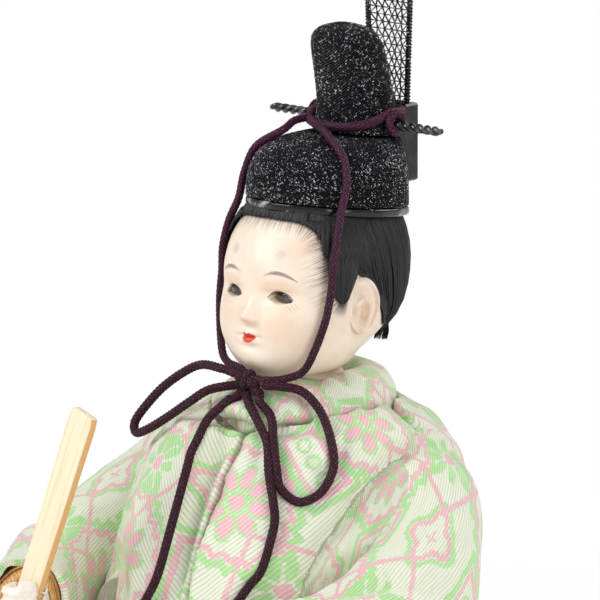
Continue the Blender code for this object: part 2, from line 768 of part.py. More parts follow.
def make_robe(core, belt_cut):
    count = 32
    rings = []
    levels = 10
    for index in range(levels):
        height = index / (levels - 1)
        half_width, front, back = blended(ROBE_ROW_SHARES, height)
        z = ROBE_BOTTOM_Z + height * (COLLAR_TOP_Z - ROBE_BOTTOM_Z - CHIN_GAP)
        ring = oval(0.0, half_width * ROBE_HALF_WIDTH, front * ROBE_FRONT, back * ROBE_BACK, z, count, 2.15,
                    crowding=0.35)
        for point in ring:
            if point.y < 0:
                across = (point.x - CREASE_OFFSET) / CREASE_SPREAD
                point.y += CREASE_DEPTH * math.exp(-0.5 * across * across) * min(1.0, 3 * front - 1)
        rings.append(ring)
    form = loft("robe_form", rings, robe_silk(), group=CUTTERS)
    hidden(form)
    base = COLLAR_TOP_Z - COLLAR_HEIGHT
    rings = [oval(0.0, wide * ROBE_HALF_WIDTH, front * ROBE_FRONT, back * ROBE_BACK,
                  base + up * COLLAR_HEIGHT, 26) for wide, front, back, up in COLLAR_ROW_SHARES]
    collar = loft("collar_roll", rings, robe_silk(), loop=True)
    sleeves = {}
    for side, label in ((1, "left"), (-1, "right")):
        rings = [sleeve_ring(index / 8, side, 20) for index in range(9)]
        cloth = loft("sleeve_" + label, rings, robe_silk(), caps=False)
        wall = cloth.modifiers.new("wall", "SOLIDIFY")
        wall.thickness = CLOTH_WALL
        wall.offset = -1.0
        settled(cloth)
        sleeves[side] = cloth
    wires = {}
    for side, label in ((1, "left"), (-1, "right")):
        place, forward = wrist_frame(side)
        root = Vector((side * WIRE_ROOT_X, 0.0, CORE_TOP_Z - WIRE_ROOT_DROP))
        rim = Vector((side * CORE_RADIUS, 0.0, root.z))
        elbow = Vector((side * SLEEVE_REACH_X, -0.28 * SLEEVE_REACH_Y, HAND_Z + 0.1 * SLEEVE_HEIGHT))
        wrist = place - forward * WRIST_LENGTH * 0.65
        outside = rim + Vector((side * CORE_RADIUS / 3, 0, 0))
        bend = curve_through([outside, outside.lerp(elbow, 0.5), elbow, wrist - forward * WRIST_LENGTH,
                              wrist - forward * WRIST_LENGTH / 2], WIRE_SPACING)
        bend = [root, rim] + bend + [wrist]
        wires[side] = tube("arm_wire_" + label, bend, WIRE_RADIUS, iron_wire(), resolution=1)
    body_cut = swollen(form)
    wire_cuts = []
    for side in (1, -1):
        wire_cuts.append(swollen(wires[side]))
        combine(sleeves[side], [body_cut, wire_cuts[-1]])
        largest_only(sleeves[side])
    neck_room = hidden(rod("neck_room", (0, 0, CORE_TOP_Z - CORE_NECK_RADIUS / 8), (0, 0, CHIN_Z + OVERRUN),
                           NECK_ROOM_RADIUS, robe_silk(), steps=20))
    combine(form, [swollen(collar), swollen(core), neck_room, *wire_cuts, belt_cut])
    largest_only(form)
    top = COLLAR_TOP_Z + OVERRUN
    reach = ROBE_FRONT + OVERRUN
    half = GAP / 2
    spans = (
        ("robe_front_left", (CREASE_OFFSET + half, -reach), (reach, SIDE_SEAM_Y - half)),
        ("robe_front_right", (-reach, -reach), (CREASE_OFFSET - half, SIDE_SEAM_Y - half)),
        ("robe_back", (-reach, SIDE_SEAM_Y + half), (reach, reach)),
    )
    for name, low, high in spans:
        piece = new_object(name, form.data.copy(), robe_silk())
        room = hidden(block(name + "_room", (*low, 0.0), (*high, top), robe_silk()))
        combine(piece, [room], "INTERSECT", "MANIFOLD")
        largest_only(piece)


def make_belt():
    z = ROBE_BOTTOM_Z - BELT_HEIGHT / 2
    low, high = blended(ROBE_ROW_SHARES, 0.0), blended(ROBE_ROW_SHARES, 0.05)
    wide, front, back = [max(a, b) for a, b in zip(low, high)]
    outer = []
    inner = []
    for level in (0, 1):
        height = z + level * BELT_HEIGHT
        for rings, grow in ((outer, GAP), (inner, GAP - BELT_THICKNESS)):
            rings.append(oval(0.0, wide * ROBE_HALF_WIDTH + grow, front * ROBE_FRONT + grow,
                              back * ROBE_BACK + grow, height, 32, 2.15))
    belt = loft("waist_belt", [outer[0], outer[1], inner[1], inner[0]], belt_black(), loop=True)
    return swollen(belt)


def make_lower(core, board, belt_cut):
    board_cut, core_cut = swollen(board), swollen(core)
    hakamas = []
    for side, label in ((1, "left"), (-1, "right")):
        rings = []
        for index in range(6):
            height = index / 5
            round_share = math.cos(height * math.pi / 2 * 0.93) ** 0.62
            ring = oval(HAKAMA_CENTRE_Y, HAKAMA_HALF_WIDTH * round_share, HAKAMA_FRONT * round_share,
                        HAKAMA_BACK * round_share, HAKAMA_HEIGHT * math.sin(height * math.pi / 2), 36, 2.6)
            for step, point in enumerate(ring):
                if point.y < HAKAMA_CENTRE_Y:
                    fold = math.cos(2 * math.pi * step / PLEAT_POINTS)
                    point.y -= PLEAT_DEPTH * fold * (1 - height)
                point.x += side * HAKAMA_CENTRE_X
            rings.append(ring)
        form = loft("hakama_" + label, rings, white_silk())
        combine(form, [board_cut, core_cut])
        largest_only(form)
        hakamas.append(form)
    split = hidden(block("hakama_split", (-GAP / 2, -ROBE_FRONT * 2, -OVERRUN),
                         (GAP / 2, ROBE_FRONT * 2, HAKAMA_HEIGHT + OVERRUN), white_silk()))
    for form in hakamas:
        combine(form, [split])
        largest_only(form)
    hakama_cuts = [swollen(form) for form in hakamas]
    rings = []
    for index in range(6):
        height = index / 5
        flare = (1 - height) ** 1.6
        low = blended(ROBE_ROW_SHARES, 0.0)
        wide = low[0] * ROBE_HALF_WIDTH + (SKIRT_HALF_WIDTH - low[0] * ROBE_HALF_WIDTH) * flare
        back = low[2] * ROBE_BACK + (SKIRT_BACK - low[2] * ROBE_BACK) * flare
        rings.append(oval(0.0, wide, SKIRT_FRONT, back, height * (ROBE_BOTTOM_Z - GAP), 32, 2.2))
    skirt = loft("robe_skirt", rings, robe_silk())
    combine(skirt, [belt_cut, board_cut, core_cut, *hakama_cuts], solver="MANIFOLD")
    largest_only(skirt)


def make_linings():
    for side, label in ((1, "left"), (-1, "right")):
        depth = CLOTH_WALL + 3 * GAP
        rings = [sleeve_ring(index / 8, side, 20, inward=depth) for index in (6, 7, 8)]
        place, forward = wrist_frame(side)
        rings.append([point + forward * LINING_PROUD for point in rings[-1]])
        cloth = loft("inner_sleeve_" + label, rings, gold_weave(), caps=False)
        wall = cloth.modifiers.new("wall", "SOLIDIFY")
        wall.thickness = LINING_WALL
        wall.offset = -1.0
        settled(cloth)


def baton_frame():
    """Matrix of the baton: its own Z runs up its length and its origin lies in the right hand."""
    place = Vector((-HAND_X, HAND_Y, HAND_Z))
    up = Vector((0.29, 0.11, 0.95)).normalized()
    across = Vector((0.95, -0.12, -0.29))
    across = (across - up * across.dot(up)).normalized()
    normal = up.cross(across)
    turn = Matrix((across, normal, up)).transposed().to_4x4()
    return Matrix.Translation(place) @ turn


def make_baton():
    rings = []
    for share, wide in ((0.0, BATON_FOOT_WIDTH), (0.5, (BATON_FOOT_WIDTH + BATON_TOP_WIDTH) / 2),
                        (0.96, BATON_TOP_WIDTH), (1.0, BATON_TOP_WIDTH * 0.90)):
        z = share * BATON_LENGTH - BATON_BELOW_HAND
        half, thick = wide / 2, BATON_THICKNESS / 2
        corners = ((half, -thick), (half, thick), (-half, thick), (-half, -thick))
        rings.append([Vector((x, y, z)) for x, y in corners])
    baton = loft("shaku_baton", rings, pale_wood())
    baton.data.transform(baton_frame())
    edge = baton.modifiers.new("edge", "BEVEL")
    edge.width = BATON_THICKNESS / 7
    edge.segments = 1
    return settled(baton)


def make_hand(side, label, baton):
    place, forward = wrist_frame(side)
    up = Vector((0, 0, 1))
    across = up.cross(forward).normalized() * side
    turn = Matrix((across, forward, up)).transposed()
    if turn.determinant() < 0:
        turn = Matrix((-across, forward, up)).transposed()

    def at(x, y, z):
        return place + across * x + forward * y + up * z

    half_sizes = (FIST_HALF_WIDTH, FIST_HALF_LENGTH, FIST_HALF_HEIGHT)
    hand = ball("hand_" + label, place, half_sizes, doll_skin(), turn=turn.to_4x4(), steps=10)
    wrist = rod("wrist_" + label, at(0, -FIST_HALF_LENGTH * 0.4, 0), at(0, -WRIST_LENGTH, 0), WRIST_RADIUS,
                doll_skin(), end_radius=WRIST_RADIUS * 0.9, steps=12)
    extras = [wrist]
    for index in range(4):
        z = FIST_HALF_HEIGHT * (0.72 - 0.48 * index)
        reach = 1.0 - 0.10 * abs(index - 1.2)
        arc = []
        for step in range(5):
            angle = math.radians(-40 + 60 * step)
            arc.append(at(FIST_HALF_WIDTH * 0.98 * math.cos(angle) * reach,
                          FIST_HALF_LENGTH * (0.10 + 0.98 * math.sin(angle) * reach), z))
        radius = FINGER_RADIUS * (1 - 0.05 * index)
        extras.append(tube("finger_%d_%s" % (index, label), arc, radius, doll_skin(), resolution=1))
    thumb = [at(-FIST_HALF_WIDTH * 0.75, -FIST_HALF_LENGTH * 0.35, FIST_HALF_HEIGHT * 0.35),
             at(-FIST_HALF_WIDTH * 0.95, FIST_HALF_LENGTH * 0.15, FIST_HALF_HEIGHT * 0.80),
             at(-FIST_HALF_WIDTH * 0.55, FIST_HALF_LENGTH * 0.70, FIST_HALF_HEIGHT * 0.98),
             at(0.0, FIST_HALF_LENGTH * 0.95, FIST_HALF_HEIGHT * 0.98)]
    extras.append(tube("thumb_" + label, thumb, FINGER_RADIUS * 1.1, doll_skin(), resolution=1))
    joined(hand, extras)
    bore = hidden(rod("wire_bore_" + label, at(0, -WRIST_LENGTH - OVERRUN, 0),
                      at(0, -WRIST_LENGTH * 0.6, 0), WIRE_RADIUS + CUT_GAP, doll_skin(), steps=10))
    cuts = [bore]
    if side < 0:
        cuts.append(swollen(baton, GAP))
    combine(hand, cuts)
    return largest_only(hand)


def make_head():
    turns = head_turns(HEAD_COLUMNS, HEAD_CROWDING)
    rings = []
    neck_bottom = CHIN_Z - NECK_LENGTH
    for z in (neck_bottom, CHIN_Z - GAP):
        rings.append([Vector((NECK_RADIUS * math.sin(turn), -NECK_RADIUS * math.cos(turn), z))
                      for turn in turns])
    heights = [0.0, 0.018, 0.05, 0.09, 0.13, 0.17, 0.2, 0.218, 0.238, 0.262, 0.29, 0.325]
    heights += [0.365, 0.41, 0.455, 0.51, 0.58, 0.66, 0.74, 0.82, 0.90, 0.965, 0.991]
    for height in heights:
        rings.append([head_point(turn, height) for turn in turns])
    head = loft("head", rings, doll_skin())
    ears = []
    for side in (1, -1):
        centre = head_point(side * math.pi * 0.472, 0.360, EAR_HALF_THICKNESS * 0.35)
        turn = Matrix.Rotation(side * 0.42, 4, "Z") @ Matrix.Rotation(-0.12, 4, "X")
        half_sizes = (EAR_HALF_THICKNESS, EAR_HALF_DEPTH, EAR_HALF_HEIGHT)
        ear = ball("ear_%d" % side, centre, half_sizes, doll_skin(), turn=turn, steps=12)
        shift = turn @ Vector((side * EAR_HALF_THICKNESS * 1.25, -EAR_HALF_DEPTH * 0.12,
                               EAR_HALF_HEIGHT * 0.12))
        bowl = hidden(ball("ear_bowl_%d" % side, centre + shift,
                           (EAR_HALF_THICKNESS, EAR_HALF_DEPTH * 0.62, EAR_HALF_HEIGHT * 0.62), doll_skin(),
                           turn=turn, steps=10))
        combine(ear, [bowl])
        ears.append(ear)
    joined(head, ears)
    eyes = []
    for side, label in ((1, "left"), (-1, "right")):
        centre = head_point(side * 0.36, 0.415, -EYE_HALF_DEPTH * 0.62)
        turn = Matrix.Rotation(side * 0.33, 4, "Z")
        half_sizes = (EYE_HALF_WIDTH, EYE_HALF_DEPTH, EYE_HALF_HEIGHT)
        eyes.append(ball("eye_" + label, centre, half_sizes, eye_glass(), turn=turn, steps=12))
    combine(head, [swollen(eye, GAP) for eye in eyes])
    peg = rod("neck_peg", (0, 0, neck_bottom + PEG_IN_NECK - PEG_LENGTH), (0, 0, neck_bottom + PEG_IN_NECK),
              PEG_RADIUS, pale_wood())
    combine(head, [swollen(peg)])
    return largest_only(head)


def hair_thickness(turn):
    toward_back = (1 - math.cos(turn)) / 2
    if toward_back < 0.5:
        share = toward_back / 0.5
        return HAIR_FRONT_THICKNESS + (HAIR_SIDE_THICKNESS - HAIR_FRONT_THICKNESS) * share
    share = (toward_back - 0.5) / 0.5
    return HAIR_SIDE_THICKNESS + (HAIR_BACK_THICKNESS - HAIR_SIDE_THICKNESS) * share


def make_hair(head):
    turns, rows = head_turns(HEAD_COLUMNS, HEAD_CROWDING), 6
    inner, outer = [], []
    for row in range(rows + 1):
        inner_ring, outer_ring = [], []
        for turn in turns:
            low = blended(HAIRLINE_SHARES, abs(turn) / math.pi)[0]
            top = 0.865 - CROWN_TILT * 0.2 * (1 - math.cos(turn))
            height = low + (top - low) * row / rows
            rounding = min(1.0, 0.45 + 1.4 * row / rows, 0.35 + 1.6 * (1 - row / rows))
            thick = hair_thickness(turn) * rounding
            inner_ring.append(head_point(turn, height, HAIR_GAP))
            outer_ring.append(head_point(turn, height, HAIR_GAP + thick))
        inner.append(inner_ring)
        outer.append(outer_ring)
    hair = loft("hair_bob", inner + outer[::-1], hair_silk(), loop=True)
    combine(hair, [swollen(head, GAP)])
    largest_only(hair)
    for side, label in ((1, "left"), (-1, "right")):
        rings = []
        for row in range(5):
            share = row / 4
            height = 0.40 + 0.16 * share
            half = 0.012 + 0.045 * share ** 0.8
            middle = 0.388 - 0.006 * share
            ring = []
            for along, out in ((-1, 0.15), (0, 0.0), (1, 0.15), (1, 0.7), (0, 1.0), (-1, 0.7)):
                turn = side * math.pi * (middle + half * along)
                thick = HAIR_FRONT_THICKNESS * (0.8 + 0.8 * share)
                ring.append(head_point(turn, height, HAIR_GAP + out * thick))
            rings.append(ring)
        lock = loft("sideburn_" + label, rings, hair_silk())
        combine(lock, [swollen(head, GAP), swollen(hair, GAP)])
        largest_only(lock)
    return hair


def make_nape(hair, head):
    start = head_point(math.pi, 0.185, HAIR_BACK_THICKNESS * 0.3)
    end = start + Vector((0.0, NAPE_LOCK_RADIUS * 0.9, -NAPE_LOCK_RADIUS * 3.6))
    rings = []
    along = (end - start).normalized()
    turn = along.to_track_quat("Z", "Y").to_matrix()
    for share, wide in ((0.0, 1.15), (0.25, 1.0), (0.42, 0.8), (0.60, 0.95), (0.85, 0.6), (1.0, 0.2)):
        centre = start.lerp(end, share)
        ring = []
        for step in range(12):
            angle = 2 * math.pi * step / 12
            spoke = turn @ Vector((math.cos(angle), math.sin(angle), 0))
            ring.append(centre + spoke * NAPE_LOCK_RADIUS * wide)
        rings.append(ring)
    lock = loft("nape_lock", rings, hair_silk())
    combine(lock, [swollen(hair), swollen(head)])
    largest_only(lock)
    band_at = start.lerp(end, 0.42)
    minor = (NAPE_TIE_RADIUS - NAPE_LOCK_RADIUS * 0.8) / 2
    major = NAPE_LOCK_RADIUS * 0.95 + GAP + minor
    loop = []
    for step in range(12):
        angle = 2 * math.pi * step / 12
        loop.append(band_at + turn @ Vector((math.cos(angle), math.sin(angle), 0)) * major)
    tube("nape_tie", loop, minor, cord_silk(), resolution=1, cyclic=True)


def cap_ring(height, outward, count, drop=0.0):
    wide, deep, centre = blended(CAP_ROW_SHARES, height)
    half = deep * CAP_HALF_DEPTH + outward
    return oval(CAP_CENTRE_Y + centre * CAP_HALF_DEPTH, wide * CAP_HALF_WIDTH + outward, half, half,
                CAP_Z + height * CAP_HEIGHT - drop, count, 2.1, CROWN_TILT)


def koji_ring(height, outward, count):
    wide, deep, lean = blended(KOJI_ROW_SHARES, height)
    half = deep * KOJI_HALF_DEPTH + outward
    return oval(KOJI_BASE_Y - lean * KOJI_LEAN, wide * KOJI_HALF_WIDTH + outward, half, half,
                KOJI_Z + height * KOJI_HEIGHT, count, 2.5, CROWN_TILT * (1 - height))


def make_crown(head, hair):
    count = 28
    outer = [cap_ring(height, 0.0, count) for height in (0.0, 0.2, 0.42, 0.62, 0.80, 0.92, 1.0)]
    inner = [cap_ring(height, -CAP_WALL, count, CAP_WALL * height) for height in (0.0, 0.42, 0.80, 1.0)]
    top = cap_ring(1.0, -CAP_WALL, count)
    cap = loft("crown_cap", inner[::-1] + outer + [top], black_gauze(), caps=False, loop=True)
    combine(cap, [swollen(hair), swollen(head)])
    largest_only(cap)
    proud = (RIM_WALL - CAP_WALL) / 2
    rim_rings = [cap_ring(0.0, proud - inward * RIM_WALL, count, GAP + down * RIM_HEIGHT)
                 for inward, down in RIM_SECTION_SHARES]
    rim = loft("crown_rim", rim_rings, black_lacquer(), loop=True)
    combine(rim, [swollen(hair), swollen(head)])
    largest_only(rim)
    rings = [koji_ring(height, 0.0, 22) for height in (0.0, 0.1, 0.26, 0.53, 0.79, 0.88, 0.945, 0.985, 1.0)]
    koji = loft("crown_topknot", rings, black_gauze())
    combine(koji, [swollen(cap)])
    pin_y = KOJI_BASE_Y
    hole = hidden(rod("pin_hole", (-KOJI_HALF_WIDTH * 2, pin_y, PIN_Z), (KOJI_HALF_WIDTH * 2, pin_y, PIN_Z),
                      PIN_RADIUS + GAP, black_gauze()))
    combine(koji, [hole])
    largest_only(koji)
    pivoted(make_pin(pin_y), (0.0, pin_y, PIN_Z))
    return cap, koji, rim


def make_pin(pin_y):
    """The hair pin: a plain middle and beaded ends, turned about its own length."""
    profile = []
    half = PIN_LENGTH / 2
    pitch = PIN_BEADED_LENGTH / PIN_BEADS
    for bead in range(PIN_BEADS):
        for part, wide in ((0.02, 0.55), (0.30, 0.96), (0.70, 0.96)):
            profile.append((half - (bead + part) * pitch, PIN_RADIUS * wide))
    profile.append((half - PIN_BEADED_LENGTH, PIN_CORE_RADIUS))
    whole = profile + [(-x, r) for x, r in reversed(profile)]
    rings = []
    for x, r in whole:
        rings.append([Vector((x, pin_y + r * math.cos(2 * math.pi * step / 6),
                              PIN_Z + r * math.sin(2 * math.pi * step / 6))) for step in range(6)])
    return loft("crown_pin", rings, black_lacquer())


def make_tail(cap, koji, rim, loop):
    back_y = CAP_CENTRE_Y + CAP_HALF_DEPTH
    low_z = CAP_Z + 0.20 * CAP_HEIGHT
    slot_y = back_y + HOLDER_DEPTH - HOLDER_WALL - TAIL_THICKNESS / 2 - GAP
    holder = block("tail_holder", (-HOLDER_HALF_WIDTH, back_y - HOLDER_DEPTH, low_z),
                   (HOLDER_HALF_WIDTH, back_y + HOLDER_DEPTH, low_z + HOLDER_HEIGHT), black_lacquer())
    edge = holder.modifiers.new("edge", "BEVEL")
    edge.width = HOLDER_WALL / 2
    edge.segments = 1
    settled(holder)
    tail_low = low_z + HOLDER_WALL + GAP
    half_slot = TAIL_THICKNESS / 2 + GAP
    grow = TAIL_BASE_WIDTH / 2 + (TAIL_TOP_WIDTH - TAIL_BASE_WIDTH) / 2 * HOLDER_HEIGHT / TAIL_LENGTH
    slot = hidden(block("tail_slot", (-grow - GAP, slot_y - half_slot, tail_low - GAP),
                        (grow + GAP, slot_y + half_slot, low_z + HOLDER_HEIGHT + OVERRUN), black_lacquer()))
    combine(holder, [slot, swollen(cap), swollen(koji), swollen(rim), swollen(loop, GAP)])
    largest_only(holder)
    outline = tail_outline(tail_low, 0.0)
    inside = tail_outline(tail_low, TAIL_FRAME_WIDTH)
    frame = flat_plate("tail_frame", [outline, inside], slot_y, TAIL_THICKNESS, black_lacquer())
    edge = tail_outline(tail_low, TAIL_FRAME_WIDTH + GAP)
    net = flat_plate("tail_net", [edge] + net_gaps(tail_low), slot_y, NET_THICKNESS, black_gauze())
    for piece in (frame, net):
        pivoted(piece, (0.0, slot_y, tail_low))


def tail_half_width(share):
    return (TAIL_BASE_WIDTH + (TAIL_TOP_WIDTH - TAIL_BASE_WIDTH) * share) / 2


def tail_outline(low, inset):
    """Outline of the tail in X and Z: a straight taper with a rounded top."""
    points = [(-tail_half_width(0.0) + inset, low + inset), (tail_half_width(0.0) - inset, low + inset)]
    shoulder = TAIL_LENGTH - TAIL_TOP_WIDTH / 2
    radius = tail_half_width(1.0) - inset
    for step in range(9):
        angle = math.pi * step / 8
        points.append((radius * math.cos(angle), low + shoulder + radius * 0.55 * math.sin(angle)))
    return points


def net_gaps(low):
    """Diamond gaps of the net, in rows that step sideways by half a gap."""
    gaps = []
    margin = TAIL_FRAME_WIDTH + GAP
    start = low + margin
    pitch = (TAIL_LENGTH - TAIL_TOP_WIDTH / 2 - margin) / NET_ROWS
    for row in range(NET_ROWS):
        z = start + (row + 0.5) * pitch
        half = tail_half_width((row + 0.5) / NET_ROWS) - margin
        cell = 2 * half / NET_COLUMNS
        for column in range(NET_COLUMNS):
            x = -half + (column + 0.5) * cell
            wide, tall = cell * (0.5 - NET_BAR_SHARE / 2), pitch * (0.5 - NET_BAR_SHARE / 2)
            gaps.append([(x - wide, z), (x, z - tall), (x + wide, z), (x, z + tall)])
    return gaps


def flat_plate(name, outlines, y, thickness, look):
    """An upright plate from 2D outlines, the first outside and the rest holes."""
    line = bpy.data.curves.new(name, "CURVE")
    line.dimensions = "2D"
    line.fill_mode = "BOTH"
    line.extrude = thickness / 2
    for outline in outlines:
        spline = line.splines.new("POLY")
        spline.points.add(len(outline) - 1)
        for place, (x, z) in zip(spline.points, outline):
            place.co = (x, z, 0.0, 1.0)
        spline.use_cyclic_u = True
    shape = bpy.data.objects.new(name, line)
    MODEL.objects.link(shape)
    bpy.context.view_layer.update()
    graph = bpy.context.evaluated_depsgraph_get()
    mesh = bpy.data.meshes.new_from_object(shape.evaluated_get(graph))
    bpy.data.objects.remove(shape)
    bpy.data.curves.remove(line)
    mesh.transform(Matrix.Translation((0, y, 0)) @ Matrix.Rotation(math.pi / 2, 4, "X"))
    bm = bmesh.new()
    bm.from_mesh(mesh)
    bmesh.ops.remove_doubles(bm, verts=bm.verts, dist=MERGE)
    bmesh.ops.recalc_face_normals(bm, faces=bm.faces)
    bm.to_mesh(mesh)
    bm.free()
    return new_object(name, mesh, look)


def make_crown_cord():
    height = (PIN_RADIUS + 2 * GAP + CORD_RADIUS + PIN_RISE) / KOJI_HEIGHT
    around = koji_ring(height, CORD_RADIUS + CUT_GAP, 20)
    wrap = tube("topknot_cord", around, CORD_RADIUS, cord_silk(), cyclic=True)
    for side, label in ((1, "left"), (-1, "right")):
        x = side * (KOJI_HALF_WIDTH + 2 * CORD_RADIUS + 2 * GAP + PIN_LOOP_CORD_RADIUS)
        loop = []
        for step in range(12):
            angle = 2 * math.pi * step / 12
            loop.append(Vector((x, KOJI_BASE_Y + PIN_LOOP_RADIUS * math.cos(angle),
                                PIN_Z + PIN_LOOP_RADIUS * math.sin(angle))))
        tube("pin_loop_" + label, loop, PIN_LOOP_CORD_RADIUS, cord_silk(), resolution=1, cyclic=True)
    return wrap


def knot_exit(degrees, backward):
    """Where a strand leaves the knot, at an angle in the front view, and the way it goes there."""
    angle = math.radians(degrees)
    away = Vector((math.cos(angle), 0.0, math.sin(angle)))
    start = Vector((0.0, KNOT_Y + backward * CORD_RADIUS, CHIN_Z + KNOT_RISE))
    start += Vector((away.x * (KNOT_HALF_WIDTH + GAP), 0.0, away.z * (KNOT_HALF_HEIGHT + GAP)))
    return start, away


def make_bow():
    ball("cord_knot", Vector((0.0, KNOT_Y, CHIN_Z + KNOT_RISE)),
         (KNOT_HALF_WIDTH, KNOT_HALF_DEPTH, KNOT_HALF_HEIGHT), cord_silk(), steps=12)
    for name, first, route, last in CORD_ROUTES:
        points = [Vector(point) for point in route]
        before, after = [], []
        if first is not None:
            start, away = knot_exit(*first)
            before = [start]
            points = [(start + away * CORD_RADIUS * 1.2).lerp(points[0], 0.5)] + points
        if last is not None:
            end, away = knot_exit(*last)
            after = [end]
            points = points + [end + away * CORD_RADIUS * 1.2]
        tube(name, before + curve_through(points, CORD_SPACING) + after, CORD_RADIUS, cord_silk())


def main():
    reset_scene()
    make_seat()
    board = bpy.data.objects["seat_board"]
    core = make_core()
    head = make_head()
    belt_cut = make_belt()
    make_robe(core, belt_cut)
    make_lower(core, board, belt_cut)
    make_linings()
    baton = make_baton()
    for side, label in ((1, "left"), (-1, "right")):
        hand = make_hand(side, label, baton)
        pivoted(hand, wrist_frame(side)[0])
    pivoted(baton, baton_frame().translation)
    hair = make_hair(head)
    make_nape(hair, head)
    cap, koji, rim = make_crown(head, hair)
    loop = make_crown_cord()
    make_tail(cap, koji, rim, loop)
    make_bow()


main()
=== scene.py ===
import math
import random

import bpy
import numpy as np
from mathutils import Matrix, Vector, noise
from mathutils.kdtree import KDTree


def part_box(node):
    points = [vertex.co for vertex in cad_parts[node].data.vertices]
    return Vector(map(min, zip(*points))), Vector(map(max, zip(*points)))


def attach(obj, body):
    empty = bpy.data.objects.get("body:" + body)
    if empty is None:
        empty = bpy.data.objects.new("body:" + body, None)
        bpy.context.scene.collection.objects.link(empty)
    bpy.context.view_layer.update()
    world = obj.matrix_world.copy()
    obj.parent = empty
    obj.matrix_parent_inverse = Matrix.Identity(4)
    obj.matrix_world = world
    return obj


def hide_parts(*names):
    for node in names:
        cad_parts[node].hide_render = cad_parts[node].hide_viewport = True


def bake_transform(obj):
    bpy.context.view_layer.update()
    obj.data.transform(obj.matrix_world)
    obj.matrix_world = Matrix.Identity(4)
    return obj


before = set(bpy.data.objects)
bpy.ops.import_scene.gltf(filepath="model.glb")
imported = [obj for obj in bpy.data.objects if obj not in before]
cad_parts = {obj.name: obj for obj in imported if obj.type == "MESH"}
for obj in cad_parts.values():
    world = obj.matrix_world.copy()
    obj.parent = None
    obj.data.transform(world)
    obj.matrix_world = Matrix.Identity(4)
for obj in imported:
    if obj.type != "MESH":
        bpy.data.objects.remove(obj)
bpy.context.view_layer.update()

bl_info = {
    "name": "Hina doll maker",
    "version": (1, 0, 0),
    "blender": (4, 5, 0),
    "location": "3D View > Sidebar > Hina Doll",
    "description": "Builds a seated court doll in brocade, with crown, cords and painted face",
    "category": "Add Mesh",
}

MM = 0.001
SIDES = ((1, "left"), (-1, "right"))

# Camera: turned from the front and raised. The doll's zero point falls at PICTURE_ZERO in the picture's
# pixels, and PICTURE_SCALE is its pixels for a metre
TURN = math.radians(42.0)
RAISE = math.radians(11.0)
CAMERA_BACK = Vector((math.sin(TURN) * math.cos(RAISE), -math.cos(TURN) * math.cos(RAISE), math.sin(RAISE)))
CAMERA_RIGHT = Vector((math.cos(TURN), math.sin(TURN), 0.0))
CAMERA_UP = CAMERA_BACK.cross(CAMERA_RIGHT)
PICTURE_ZERO = (315.0, 966.0)
PICTURE_SCALE, PICTURE_HALF = 4550.0, 300.0
PIXELS_PER_MM = PICTURE_SCALE * MM

# Head: height, half width, front and back as shares of the head's sizes
HEAD_ROWS = [
    (0.000, 0.30, 0.72, 0.30), (0.018, 0.50, 0.83, 0.30), (0.050, 0.67, 0.905, 0.305),
    (0.094, 0.80, 0.955, 0.34), (0.147, 0.90, 0.985, 0.43), (0.212, 0.965, 1.0, 0.58),
    (0.278, 0.995, 1.0, 0.73), (0.344, 1.0, 0.995, 0.85), (0.410, 0.99, 0.985, 0.93),
    (0.486, 0.975, 0.98, 0.98), (0.562, 0.955, 0.965, 1.0), (0.639, 0.92, 0.90, 0.98),
    (0.715, 0.85, 0.785, 0.94), (0.781, 0.77, 0.665, 0.88), (0.825, 0.70, 0.580, 0.83),
    (0.890, 0.55, 0.43, 0.67), (0.956, 0.32, 0.24, 0.40), (0.991, 0.12, 0.10, 0.14),
]
# How far the jaw draws in toward the nape: height and share of the half width
NAPE_ROWS = [(0.0, 0.74), (0.094, 0.72), (0.147, 0.80), (0.212, 0.90), (0.278, 0.97), (0.344, 1.0), (1.0, 1.0)]
HEAD_HALF_WIDTH, HEAD_FRONT, HEAD_BACK = 0.0174, 0.0207, 0.0197
HEAD_HEIGHT, HEAD_POWER, CHIN_Z = 0.0457, 2.4, 0.1343
NECK_RADIUS, NECK_LENGTH = 0.0072, 0.0125

# Face forms in millimetres: across, height above the seat, rise, spread across, spread up. Those that
# aren't in the middle are on both sides.
HALF_FACE = [
    (0.0, 148.75, 1.95, 1.05, 1.05), (0.0, 150.4, 1.00, 1.15, 1.8), (0.0, 153.4, 0.45, 1.3, 2.6),
    (1.40, 148.2, 0.75, 0.55, 0.62), (0.0, 146.9, -0.22, 1.5, 0.50), (0.0, 145.0, 0.95, 1.75, 0.50),
    (0.55, 145.25, 0.18, 0.40, 0.30), (0.0, 143.45, 1.10, 1.45, 0.58), (0.0, 144.28, -0.42, 2.0, 0.20),
    (2.5, 144.2, -0.30, 0.6, 0.6), (0.0, 141.9, -0.40, 2.0, 0.55), (0.0, 139.1, 1.50, 3.6, 2.05),
    (9.0, 146.0, 1.17, 4.3, 4.3), (6.6, 153.2, -1.20, 3.8, 1.9), (7.2, 157.1, 0.38, 4.7, 1.8),
    (6.5, 155.1, 0.32, 2.9, 0.50), (6.4, 151.3, 0.22, 2.6, 0.40),
]
FACE_FORMS = [(side * form[0], *form[1:]) for form in HALF_FACE for side in ((1, -1) if form[0] else (1,))]
EYE_OUTLINE = [
    (3.80, 152.75), (4.5, 153.60), (5.5, 154.30), (6.6, 154.50), (7.7, 154.20), (8.7, 153.35),
    (9.45, 152.45), (8.6, 152.05), (7.5, 151.85), (6.4, 151.80), (5.2, 152.05), (4.4, 152.40),
]

